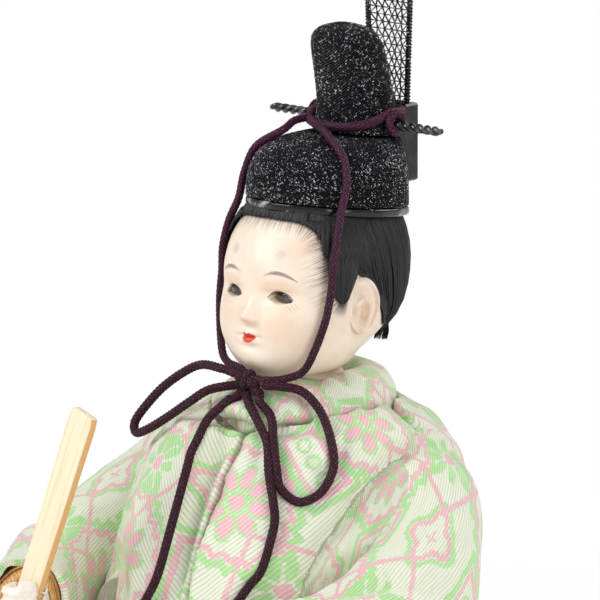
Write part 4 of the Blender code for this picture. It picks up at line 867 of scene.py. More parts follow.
def material(name, paint, values=(), specular=0.5, **constant):
    """A Principled material: paint is given the wiring, the shader and the values, and joins its inputs."""
    made = bpy.data.materials.new(name)
    made.use_nodes = True
    shader = made.node_tree.nodes["Principled BSDF"]
    shader.inputs["Specular IOR Level"].default_value = specular
    for label, value in constant.items():
        shader.inputs[label.replace("_", " ")].default_value = value
    paint(Wiring(made.node_tree), shader, *values)
    return made


def flower(wiring, x, y, reach, long, wide, heart):
    """Eight petals round a heart: the flower itself and the band that outlines it."""
    radius = wiring.distance(x, y)
    turn = y.with_("ARCTAN2", x).wrapped(2 * math.pi / 8)
    along = (radius * turn.with_("COSINE") - reach) / long
    across = radius * turn.with_("SINE") / wide
    petal = wiring.distance(along, across)
    return petal.under(1.0).most(radius.under(heart)), petal.under(1.34).most(radius.under(heart + 0.5))


def brocade_masks(wiring, position, size):
    """Woven court motifs in a half-drop repeat, in millimetres: flowers in stepped frames, florets in
    boxes and four-lobed clouds. Every edge steps with the weave."""
    u, v, _ = wiring.parts(position)
    weave = 0.40
    fray = (wiring.noise(position, 1.9, 1.0) - 0.5) * 0.9
    u = ((u / size + fray) / weave).with_("FLOOR") * weave
    v = ((v / size - fray) / weave).with_("FLOOR") * weave
    wide, tall = REPEAT_ACROSS, REPEAT_ALONG
    x, y = u.wrapped(wide), v.wrapped(tall)
    pink_a, green_a = flower(wiring, x, y, 4.7, 2.1, 1.30, 1.45)
    step = (x.away() - y.away()).wrapped(4.4).away() * 0.55
    reach = x.away().most(y.away() * 0.88).most((x.away() + y.away()) * 0.70) + step
    pink_b = reach.away(10.2).under(0.60)
    green_b = reach.away(11.9).under(0.80)
    x2, y2 = (u + wide / 2).wrapped(wide), (v + tall / 2).wrapped(tall)
    petals_c, _ = flower(wiring, x, y2, 3.7, 1.9, 1.0, 0.0)
    ring_c = (x.away() + y2.away()) * 0.72
    pink_c = wiring.distance(x, y2).under(1.45).most(ring_c.away(7.6).under(0.42))
    box = (x2.away() - 2.3).most(y.away() - 5.4)
    pink_d = box.away(1.0).under(0.46)
    green_d = box.away(2.5).under(0.52)
    spot = wiring.distance(x2, y.wrapped(3.7)).away(1.25).under(0.33) * box.under(0.2)
    turn = y2.with_("ARCTAN2", x2)
    cloud = wiring.distance(x2, y2) - (turn * 4.0).with_("COSINE") * 0.95 - 3.9
    pink_e = cloud.away().under(0.62).most(cloud.under(-3.4))
    green_e = cloud.away(1.35).under(0.50)
    pink = pink_a.most(pink_b).most(pink_c).most(pink_d).most(pink_e)
    green = green_a.most(green_b).most(petals_c).most(green_d).most(spot).most(green_e)
    return pink, (green - pink).most(0.0)


def twill_masks(wiring, position, pitch):
    """Slanting ribs of a twill, with the threads that make them: rib height and gap."""
    u, v, _ = wiring.parts(position)
    wobble = (wiring.noise(position, 0.10, 1.0) - 0.5) * 0.6
    run = (v * 0.72 - u * 0.69 + wobble) / pitch
    rib = ((run * (2 * math.pi)).with_("SINE") + 1.0) * 0.5
    stitch = (((u * 0.72 + v * 0.69) / pitch * (2 * math.pi * 1.15)).with_("SINE") + 1.0) * 0.5
    height = rib * 0.75 + stitch * rib * 0.25
    return height, wiring.ramp(rib, 0.34, 0.04)


def braid_masks(wiring, position, pitch):
    """Crossing strands of a round braid: its stitches and its lighter flecks."""
    u, v, _ = wiring.parts(position)
    turns = u / (2 * math.pi) * 8.0
    along = v / pitch
    a = ((turns + along) * math.pi).with_("SINE").away()
    b = ((turns - along) * math.pi).with_("SINE").away()
    stitch = a * b
    fleck = wiring.noise(wiring.vector(turns + along, turns - along), 0.9, 1.0)
    return stitch, wiring.ramp(stitch, 0.25, 0.95) * wiring.ramp(fleck, 0.42, 0.66)


def strand_masks(wiring, position, stretch):
    """Fine streaks that run along one way of a map."""
    u, v, _ = wiring.parts(position)
    fine = wiring.noise(wiring.vector(u * stretch, v, 0.0), 1.0, 3.0, 0.65)
    broad = wiring.noise(wiring.vector(u * stretch * 0.23, v * 0.6, 3.1), 1.0, 2.0)
    return fine, broad


def wear_and_gleam_masks(wiring, position, scale):
    """Slow unevenness of a surface, for dust, handling and dye, and for where painted glints and reflections fall on
    the crown's lacquer and gauze.
    """
    u = wiring.add("ShaderNodeVectorMath", operation="SCALE")
    wiring.join(position, u.inputs[0])
    wiring.join(scale, u.inputs["Scale"])
    broad = wiring.noise(u.outputs[0], 1.0, 3.0, 0.55)
    fine = wiring.noise(u.outputs[0], 9.0, 2.0, 0.6)
    return broad, fine


def make_groups():
    for name, value, outputs, fill in (
            ("brocade", "Size", ["Pink", "Green"], brocade_masks), ("twill", "Pitch", ["Height", "Gap"], twill_masks),
            ("braid", "Pitch", ["Stitch", "Fleck"], braid_masks),
            ("strands", "Stretch", ["Fine", "Broad"], strand_masks), ("wear", "Scale", ["Broad", "Fine"], wear_and_gleam_masks)):
        new_group(name, [("Position", "Vector"), (value, "Float")], outputs, fill)


def uv_of(wiring, name="cloth"):
    return wiring.add("ShaderNodeUVMap", uv_map=name).outputs["UV"]


def object_place(wiring):
    """Object coordinates in millimetres."""
    return wiring.scaled(wiring.add("ShaderNodeTexCoord").outputs["Object"], 1 / MM)


def brocade_silk(w, shader):
    cloth = settings("cloth")
    spot = uv_of(w)
    pink, green = w.group("brocade", Position=spot, Size=cloth.motif)
    height, gap = w.group("twill", Position=uv_of(w, "weave"), Pitch=cloth.rib / MM)
    broad, _ = w.group("wear", Position=spot, Scale=0.09)
    thread = w.noise(w.scaled(spot, 2.6), 1.0, 2.0, 0.7)
    # Painted shade: the ground darkens in the grooves between the ribs
    plain = w.mix(gap * 0.46, cloth.ground, cloth.shade)
    worn = w.ramp(thread, 0.30, 0.62)
    lift = w.ramp(height, 0.45, 1.0) * 0.40
    # Painted shade in the rib grooves darkens the motif colours too; on the rib tops they go paler toward the ground
    leaf, rose = [w.mix(lift, w.mix(gap * 0.42, dye, w.mix(0.5, dye, cloth.shade)), cloth.ground)
                  for dye in (cloth.green, cloth.pink)]
    colour = w.mix(green * (worn * 0.24 + 0.76), plain, leaf)
    colour = w.mix(pink * (worn * 0.25 + 0.75), colour, rose)
    colour = w.mix(w.ramp(broad, 0.35, 0.75) * 0.10, colour, tone("FBF7EA"))
    relief = height + pink * 0.7 + green * 0.55 + thread * 0.35
    w.surface(shader, colour, w.ramp(pink.most(green), 0.0, 1.0, 0.52, 0.42), relief, 0.00012, 0.75)


def gold_cloth(w, shader):
    spot = uv_of(w)
    height, gap = w.group("twill", Position=spot, Pitch=0.95)
    check, _ = w.group("twill", Position=w.scaled(spot, (-1.0, 1.0, 1.0)), Pitch=2.4)
    # Painted shade: dark brown in the grooves between the gold twill's ribs
    colour = w.mix(gap * 0.6, settings("cloth").gold, tone("8A5A2C"))
    colour = w.mix(check * 0.30, colour, tone("F0CB8E"))
    w.surface(shader, colour, w.ramp(height, 0.0, 1.0, 0.55, 0.36), height + check * 0.8, 0.00014, 0.8)


def plain_silk(w, shader):
    # One darker colour serves as painted shade in the rib grooves and as the real tone of the woven figure and of the
    # uneven patches
    white, groove_shade_and_figure_tone = settings("cloth").white, tone("C9C2B4")
    spot = uv_of(w)
    height, gap = w.group("twill", Position=spot, Pitch=0.6)
    pink, green = w.group("brocade", Position=spot, Size=0.75)
    broad, _ = w.group("wear", Position=spot, Scale=0.12)
    figure = pink.most(green)
    base = w.mix(broad * 0.18, w.mix(gap * 0.35, white, groove_shade_and_figure_tone), groove_shade_and_figure_tone)
    w.surface(shader, w.mix(figure * 0.22, base, groove_shade_and_figure_tone), w.ramp(figure, 0.0, 1.0, 0.60, 0.42),
              height + figure * 0.8, 0.0001, 0.7)


def cord_silk(w, shader):
    cord = settings("cord")
    stitch, fleck = w.group("braid", Position=uv_of(w, "UVMap"), Pitch=cord.pitch / MM)
    broad, _ = w.group("wear", Position=object_place(w), Scale=0.35)
    _, _, height = w.parts(object_place(w))
    upper = w.ramp(height, 140.0, 176.0)
    body = w.mix(upper * 0.80, cord.dark, tone("431636"))
    # Painted shade: the grooves between the braid's strands go nearly black where the stitch mask is low
    colour = w.mix(w.ramp(stitch, 0.02, 0.40), tone("12060C"), body)
    colour = w.mix(fleck * 0.55, colour, w.mix(upper * 0.6, cord.fleck, tone("8C4478")))
    colour = w.mix(broad * 0.25, colour, tone("4A2036"))
    w.surface(shader, colour, w.ramp(stitch, 0.0, 1.0, 0.72, 0.46), stitch, 0.00008, 0.8)


def hair_silk(w, shader):
    hair = settings("hair")
    fine, broad = w.group("strands", Position=w.scaled(uv_of(w, "hair"), (1.0, 0.10, 1.0)), Stretch=4.5)
    colour = w.mix(w.ramp(fine, 0.48, 0.74), hair.black, hair.gleam)
    colour = w.mix(w.ramp(broad, 0.5, 0.8) * 0.5, colour, tone("2B2328"))
    w.surface(shader, colour, w.ramp(fine, 0.3, 0.8, 0.52, 0.34), fine + broad * 0.6, 0.00018, 0.9)


def gauze_thread(w, shader):
    crown = settings("crown")
    place = object_place(w)
    glitter = w.noise(place, 2.0, 2.0, 0.75)
    broad, _ = w.group("wear", Position=place, Scale=0.16)
    # Painted highlights: scattered crossings take the glint colour, more of them where the broad mask is high
    lit = w.ramp(glitter - w.ramp(broad, 0.38, 0.62, 0.022, -0.016), 0.592, 0.632)
    w.join(lit * 0.3, shader.inputs["Metallic"])
    w.surface(shader, w.mix(lit, crown.gauze, crown.glint), w.ramp(glitter, 0.45, 0.70, 0.42, 0.16),
              glitter, 0.00034, 1.0)


def gauze_ground(w, shader):
    weave = w.noise(object_place(w), 1.9, 3.0, 0.75)
    w.surface(shader, w.mix(w.ramp(weave, 0.45, 0.80), tone("040405"), tone("1A1A1D")),
              w.ramp(weave, 0.3, 0.7, 0.85, 0.60), weave, 0.00025, 0.9)


def black_lacquer(w, shader, gleam, start):
    broad, fine = w.group("wear", Position=object_place(w), Scale=0.30)
    # Painted reflections: lighter patches of the gleam colour on the black lacquer, bright white on the rim
    colour = w.mix(w.ramp(broad, start, start + 0.2) * 0.6, settings("crown").lacquer, tone(gleam))
    w.surface(shader, colour, w.ramp(fine, 0.3, 0.8, 0.12, 0.30), broad + fine * 0.15, 0.00020, 0.35)


def pale_wood(w, shader, base):
    wood = settings("wood")
    lean = baton_grain(w, *w.parts(object_place(w)))
    rings = w.noise(lean, 1.0, 4.0, 0.6)
    pores = w.noise(w.scaled(lean, (6.0, 6.0, 0.9)), 1.0, 2.0, 0.6)
    colour = w.mix(w.ramp(rings, 0.44, 0.66) * 0.30, getattr(wood, base), wood.grain)
    colour = w.mix(w.ramp(pores, 0.58, 0.72) * 0.14, colour, tone("B98B52"))
    w.surface(shader, colour, w.ramp(pores, 0.4, 0.7, 0.48, 0.62), rings + pores * 0.4, 0.00007, 0.6)


def baton_grain(w, x, y, z):
    """Coordinates that follow the baton's length, for a grain that runs up it."""
    along = x * 0.29 + y * 0.11 + z * 0.95
    return w.vector((x - along * 0.29) * 1.5, (y - along * 0.11) * 1.5, along * 0.045)


def plain_finish(w, shader, light, dark, roughness, scale):
    broad, fine = w.group("wear", Position=object_place(w), Scale=scale)
    light = settings("wood").straw if light == "straw" else tone(light)
    w.surface(shader, w.mix(w.ramp(broad * 0.6 + fine * 0.4, 0.35, 0.65), light, tone(dark)),
              w.ramp(fine, 0.3, 0.7, roughness, roughness * 0.75), fine, 0.0002, 0.5)


def doll_skin(w, shader):
    face = settings("face")
    x, y, z = w.parts(object_place(w))
    side = x.away()
    front = w.ramp(y, -12.0, -16.0)
    soft = w.noise(object_place(w), 0.16, 2.0)
    speck = w.noise(object_place(w), 2.2, 2.0)
    colour = w.mix(w.ramp(soft, 0.35, 0.75) * 0.30, face.skin, face.blush)
    colour = w.mix(w.ramp(speck, 0.55, 0.85) * 0.10, colour, face.blush)
    lid = blot(w, side - 6.6, z - 155.2, 4.6, 2.4) * front * 0.42
    cheek = blot(w, side - 9.0, z - 147.0, 5.0, 4.0) * front * 0.16
    nose = blot(w, side, z - 146.9, 2.4, 1.2) * front * 0.35
    colour = w.mix(lid.most(cheek).most(nose), colour, face.blush)
    smudge = blot(w, side - 6.4, z - 162.3, 1.6, 1.5) * front * 0.30
    lips, line = lip_paint(w, side, z)
    red = w.mix(w.ramp(speck, 0.4, 0.8) * 0.4, face.lips, tone("F0715C"))
    for share, paint in ((smudge, tone("A39A92")), (hairline_paint(w, z), tone("3D3029")),
                         (brow_paint(w, side, z) * front, face.brow),
                         (lash_paint(w, side, z) * front, tone("4A3A34")),
                         (lips * front, red), (line * front, tone("8E1F1A"))):
        colour = w.mix(share, colour, paint)
    w.surface(shader, colour, w.ramp(lips * front, 0.0, 1.0, 0.40, 0.28), speck * 0.4 + soft, 0.00004, 0.35)


def blot(w, dx, dz, wide, tall):
    """A soft round patch."""
    a, b = dx / wide, dz / tall
    return w.ramp(a * a + b * b, 1.0, 0.0)


def brow_paint(w, side, z):
    """A thin painted arch with tapered ends and soft hairs."""
    off = side - 6.9
    middle = (off * off * -0.092) + 158.55 - off * 0.12
    half = ((off / 3.85) * (off / 3.85) * -1.0 + 1.0).most(0.0) * 0.36
    reach = (z - middle).away() - half
    hairs = w.noise(w.vector(side * 0.9 + z * 0.5, z * 5.0, 0.0), 1.0, 2.0)
    ink = w.ramp(reach, 0.22, -0.12) * off.away().under(3.8)
    return ink * (hairs * 0.5 + 0.50) * w.ramp(off, -4.2, -0.6, 0.35, 1.0)


def lash_paint(w, side, z):
    """The dark upper lid line and a few fine lashes at the outer corner."""
    off = side - 6.65
    lid = off * off * -0.205 + 154.52 - off * 0.055
    line = w.ramp((z - lid).away(0.05), 0.24, 0.08) * off.away().under(2.95)
    run = side * 0.75 + z * 0.8
    comb = ((run * 9.5).with_("SINE") + 1.0) * 0.5
    patch = blot(w, side - 9.7, z - 151.3, 1.9, 1.3)
    lash = w.ramp(comb, 0.60, 1.0) * patch * 0.24
    return (line * 0.85).most(lash)


def lip_paint(w, side, z):
    """A small full mouth with a bowed upper lip, and the line between the lips."""
    dip = (side / 0.5).power(2.0)
    upper = 145.28 - side * side * 0.20 - w.ramp(dip, 1.2, 0.0) * 0.24
    lower = (side * side) * 0.30 + 142.95
    inside = w.ramp(z - upper, 0.14, -0.14) * w.ramp(lower - z, 0.16, -0.16) * w.ramp(side, 1.95, 1.55)
    line = w.ramp((z - 144.25 - side * side * 0.03).away(), 0.13, 0.03) * w.ramp(side, 2.0, 1.3)
    return inside, line * 0.65


def hairline_paint(w, z):
    """Fine brush strokes that run down from the hair onto the brow and the temple."""
    u, v, _ = w.parts(uv_of(w, "hairline"))
    stroke = w.noise(w.vector(u * 3.6, v * 0.12, 0.0), 1.0, 2.0, 0.6)
    uneven = w.noise(w.vector(u * 0.8, 0.0, 2.0), 1.0, 2.0)
    reach = w.ramp(z, 168.0, 157.0, 2.6, 6.6) + uneven * 3.0
    fade = w.ramp(v / reach, 1.0, 0.10)
    near = w.ramp(v, 4.6, -0.6) * w.ramp(z, 169.0, 158.0, 0.42, 1.0)
    return (w.ramp(stroke, 0.42, 0.60) * fade * 0.56 + near * near * 0.95).least(0.96)


def eye_glass(w, shader):
    x, y, z = w.parts(object_place(w))
    dx, dz = x.away() - 6.5, z - 153.1
    radius = w.distance(dx, dz)
    rays = w.noise(w.vector(dz.with_("ARCTAN2", dx) * 3.0, radius * 0.6, 0.0), 1.0, 2.0)
    colour = w.mix(rays, settings("face").iris, tone("5E4C49"))
    colour = w.mix(w.ramp(radius, 1.05, 0.65) * 0.8, colour, tone("140E0E"))
    colour = w.mix(w.ramp(radius, 2.0, 2.9) * 0.30, colour, tone("7A6A66"))
    # Painted shade: the upper part of the eye is darkened, as under the upper lid
    colour = w.mix(w.ramp(dz, 0.3, 1.1) * 0.75, colour, tone("1D1414"))
    w.join(colour, shader.inputs["Base Color"])
    w.join(w.ramp(rays, 0.0, 1.0, 0.06, 0.10), shader.inputs["Roughness"])


# Each finish: what paints it, the values that it is given, and the sockets that stay the same all over
LACQUER = {"specular": 0.22, "Coat_Roughness": 0.08}
FINISHES = {
    "brocade_silk": (brocade_silk, (), {"specular": 0.35, "Sheen_Weight": 0.25, "Sheen_Roughness": 0.45}),
    "gold_cloth": (gold_cloth, (), {"Metallic": 0.25}),
    "white_silk": (plain_silk, (), {"Sheen_Weight": 0.2, "Sheen_Roughness": 0.5}),
    "cord_silk": (cord_silk, (), {"specular": 0.22, "Sheen_Weight": 0.04, "Sheen_Roughness": 0.4}),
    "hair_silk": (hair_silk, (), {"specular": 0.45, "Anisotropic": 0.6}),
    "gauze_thread": (gauze_thread, (), {"specular": 0.30}),
    "gauze_ground": (gauze_ground, (), {"specular": 0.12}),
    # The gleam colour and the start of its patches, which are painted reflections
    "black_lacquer": (black_lacquer, ("35322F", 0.45), {**LACQUER, "Coat_Weight": 0.25}),
    "rim_lacquer": (black_lacquer, ("F4F2F6", 0.56), {**LACQUER, "Coat_Weight": 0.45}),
    "pin_lacquer": (black_lacquer, ("6E6C70", 0.48), {**LACQUER, "Coat_Weight": 1.0}),
    "pale_wood": (pale_wood, ("pale",), {}),
    # The baton's narrow side faces: its pale wood in painted shade
    "pale_wood_edge": (pale_wood, ("edge",), {}),
    "belt_black": (plain_finish, ("131214", "26242A", 0.30, 0.9), {}),
    "hand_white": (plain_finish, ("FBF6EC", "EFE2D2", 0.42, 0.25), {}),
    "straw": (plain_finish, ("straw", "8F7440", 0.85, 1.2), {}),
    "iron_wire": (plain_finish, ("8C8C90", "5D5D62", 0.40, 0.8), {"Metallic": 0.9}),
    "doll_skin": (doll_skin, (), {"specular": 0.42, "Subsurface_Weight": 0.10, "Subsurface_Scale": 0.0016,
                                  "Coat_Weight": 0.10, "Coat_Roughness": 0.35}),
    "eye_glass": (eye_glass, (), {"specular": 0.6, "Coat_Weight": 0.8, "Coat_Roughness": 0.03}),
}
MADE = {}


def look(name):
    """The finish of that name, made when it is first asked for."""
    if name not in MADE:
        paint, values, constant = FINISHES[name]
        MADE[name] = material(name, paint, values, **constant)
    return MADE[name]


def knot_exit(degrees, backward):
    angle = math.radians(degrees)
    away = Vector((math.cos(angle), 0.0, math.sin(angle)))
    start = KNOT + Vector((away.x * (KNOT_HALF.x + GAP), backward * CORD_RADIUS, away.z * (KNOT_HALF.z + GAP)))
    return start, away


def cord_path(first, route, last):
    """The cord's centreline: the listed points, with its straight way out of the knot and into it."""
    points = [Vector(point) for point in route]
    if first is not None:
        start, away = knot_exit(*first)
        bend = (start + away * CORD_RADIUS * 1.2).lerp(points[0], 0.5)
        points = [start - away * CORD_RADIUS, start, bend] + points
    if last is not None:
        end, away = knot_exit(*last)
        points = points + [end + away * CORD_RADIUS * 1.2, end, end - away * CORD_RADIUS]
    return curve_through(points, 0.00021)


def braid_relief(radius):
    cord = settings("cord")

    def relief(u, length):
        a = abs(math.sin(math.pi * (8 * u + length / cord.pitch)))
        b = abs(math.sin(math.pi * (8 * u - length / cord.pitch)))
        return cord.relief * (a * b - 0.75) * min(1.0, radius / CORD_RADIUS)

    return relief


class HINA_OT_stage(bpy.types.Operator):
    """Add the floor, the lamps and the camera"""
    bl_idname = "hina.stage"
    bl_label = "Stage"

    def execute(self, context):
        stage = settings("stage")
        deselect()
        bpy.ops.mesh.primitive_plane_add(size=6.0, location=(0.0, 0.0, 0.0))
        floor = named("floor")
        floor.data.materials.append(material("pale_floor", self.paint_floor, Roughness=0.8))
        world = bpy.data.worlds.new("studio")
        context.scene.world = world
        world.use_nodes = True
        w = Wiring(world.node_tree)
        back = world.node_tree.nodes["Background"]
        seen = w.term(w.add("ShaderNodeLightPath").outputs["Is Camera Ray"])
        w.join(seen * (1.0 - stage.sky) + stage.sky, back.inputs["Strength"])
        back.inputs["Color"].default_value = WHITE
        aim = Vector((0.0, -0.01, 0.12))
        for name, place, size, power in (("key", (-0.34, -0.52, 0.62), 0.50, stage.key_power),
                                         ("fill", (0.66, -0.22, 0.34), 0.50, stage.fill_power),
                                         ("back", (0.12, 0.62, 0.60), 0.45, stage.rim_power)):
            lamp = bpy.data.lights.new("lamp_" + name, "AREA")
            lamp.energy, lamp.size, lamp.shape = power, size, "DISK"
            holder = add_object("lamp_" + name, lamp)
            holder.location = place
            holder.rotation_euler = (aim - Vector(place)).to_track_quat("-Z", "Y").to_euler()
        self.set_camera(context.scene, stage.lens)
        context.scene.view_settings.view_transform = "Standard"
        return {"FINISHED"}

    def paint_floor(self, w, shader):
        """A pale floor that fades into plain white away from the doll, for what is seen or mirrored."""
        place = w.add("ShaderNodeTexCoord").outputs["Object"]
        grain = w.noise(place, 40.0, 3.0)
        w.join(w.mix(grain * 0.12, settings("stage").floor, WHITE), shader.inputs["Base Color"])
        w.join(w.bump(grain, 0.0003, 0.2), shader.inputs["Normal"])
        x, y, _ = w.parts(place)
        path = w.add("ShaderNodeLightPath").outputs
        rays = w.term(path["Is Camera Ray"]).most(w.term(path["Is Glossy Ray"]))
        rays = rays.most(w.term(path["Is Transmission Ray"]))
        light = w.add("ShaderNodeEmission")
        light.inputs["Color"].default_value = WHITE
        both = w.add("ShaderNodeMixShader")
        w.join(w.ramp(w.distance(x, y), 0.16, 0.42) * rays, both.inputs[0])
        w.join(shader.outputs[0], both.inputs[1])
        w.join(light.outputs[0], both.inputs[2])
        w.join(both.outputs[0], w.tree.nodes["Material Output"].inputs["Surface"])

    def set_camera(self, scene, lens):
        """Puts the camera where the picture was taken from, with the picture's frame."""
        deselect()
        bpy.ops.object.camera_add()
        camera = named("camera")
        camera.data.lens, camera.data.sensor_width = lens, 36.0
        right = (PICTURE_HALF - PICTURE_ZERO[0]) / PICTURE_SCALE
        up = (PICTURE_ZERO[1] - PICTURE_HALF) / PICTURE_SCALE
        distance = PICTURE_HALF / PICTURE_SCALE / (camera.data.sensor_width / 2 / camera.data.lens)
        camera.location = CAMERA_RIGHT * right + CAMERA_UP * up + CAMERA_BACK * distance
        camera.rotation_euler = Matrix((CAMERA_RIGHT, CAMERA_UP, CAMERA_BACK)).transposed().to_euler()
        camera.data.clip_start, camera.data.clip_end = distance * 0.1, distance * 10
        scene.camera = camera


class HINA_OT_cords(bpy.types.Operator):
    """Add the braided chin cords, the bow with its knot, and the cord round the topknot"""
    bl_idname = "hina.cords"
    bl_label = "Cords and bow"

    def execute(self, context):
        knot = self.make_knot()
        for name, first, route, last in CORD_ROUTES:
            path = cord_path(first, route, last)
            radius = CHIN_CORD_RADIUS if first is None else CORD_RADIUS
            cord = tube_of(name + "_braid", path, radius, 32, braid_relief(radius))
            cord.data.materials.append(look("cord_silk"))
            if first is None:
                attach(cord, "head")
            else:
                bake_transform(cord)
            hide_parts(name)
            tied = {"with_pieces": [knot]} if name == "chin_cord_left" else {}
            tuple(path[0])
            spans_of(path)[-1]
            2 * radius
        self.make_wraps()
        return {"FINISHED"}

    def make_knot(self):
        """Two crossing turns of cord drawn tight round the strands."""
        turns = [KNOT + Vector((0.0004 * math.sin(angle), -0.0013 * math.cos(angle), 0.0019 * math.sin(angle)))
                 for angle in angles(90)]
        band = tube_of("knot_band", turns, CORD_RADIUS * 0.86, 24, braid_relief(CORD_RADIUS), closed=True)
        across = curve_through([KNOT + Vector(p) for p in (
            (-0.0030, 0.0002, 0.0004), (-0.0018, -0.0010, 0.0009), (0.0, -0.0004, 0.0004),
            (0.0018, -0.0010, -0.0002), (0.0030, 0.0002, -0.0006))], 0.00018)
        bar = tube_of("knot_bar", across, CORD_RADIUS * 0.95, 24, braid_relief(CORD_RADIUS))
        deselect()
        bpy.ops.mesh.primitive_uv_sphere_add(segments=32, ring_count=16, radius=1.0, location=(0, 0, 0))
        heart = named("knot_heart")
        put_points(heart, points_of(heart) * np.array(KNOT_HALF) * 0.78 + np.array(KNOT))
        knot = joined(band, bar, stretch_map(heart, 6.3, 6.0))
        knot.name = "cord_knot_tied"
        return fit(shade(knot, 1.2), "head", "cord_silk", "cord_silk", "cord_knot")

    def make_wraps(self):
        """The turn of cord round the foot of the topknot, and the small loops that hold the pin."""
        around = []
        for turn in angles(240):
            height = (0.0052 - 0.0038 * max(0.0, math.cos(turn)) ** 0.7) / KOJI_HEIGHT
            around.append(koji_point(turn, height, CORD_RADIUS + 0.0004))
        wrap = tube_of("topknot_cord_braid", around, CORD_RADIUS, 32, braid_relief(CORD_RADIUS), closed=True)
        fit(wrap, "head", "cord_silk", "cord_silk", "topknot_cord")
        for side, label in SIDES:
            low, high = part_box("pin_loop_" + label)
            thick = 0.0008
            reach = (high.y - low.y) / 2 - thick
            loop = [(low + high) / 2 + Vector((side * 0.0003 * math.sin(2 * angle), reach * math.cos(angle),
                                               reach * math.sin(angle))) for angle in angles(80)]
            ring = tube_of("pin_loop_%s_braid" % label, loop, thick, 24, braid_relief(thick), closed=True)
            fit(ring, "head", "cord_silk", "cord_silk", "pin_loop_" + label)


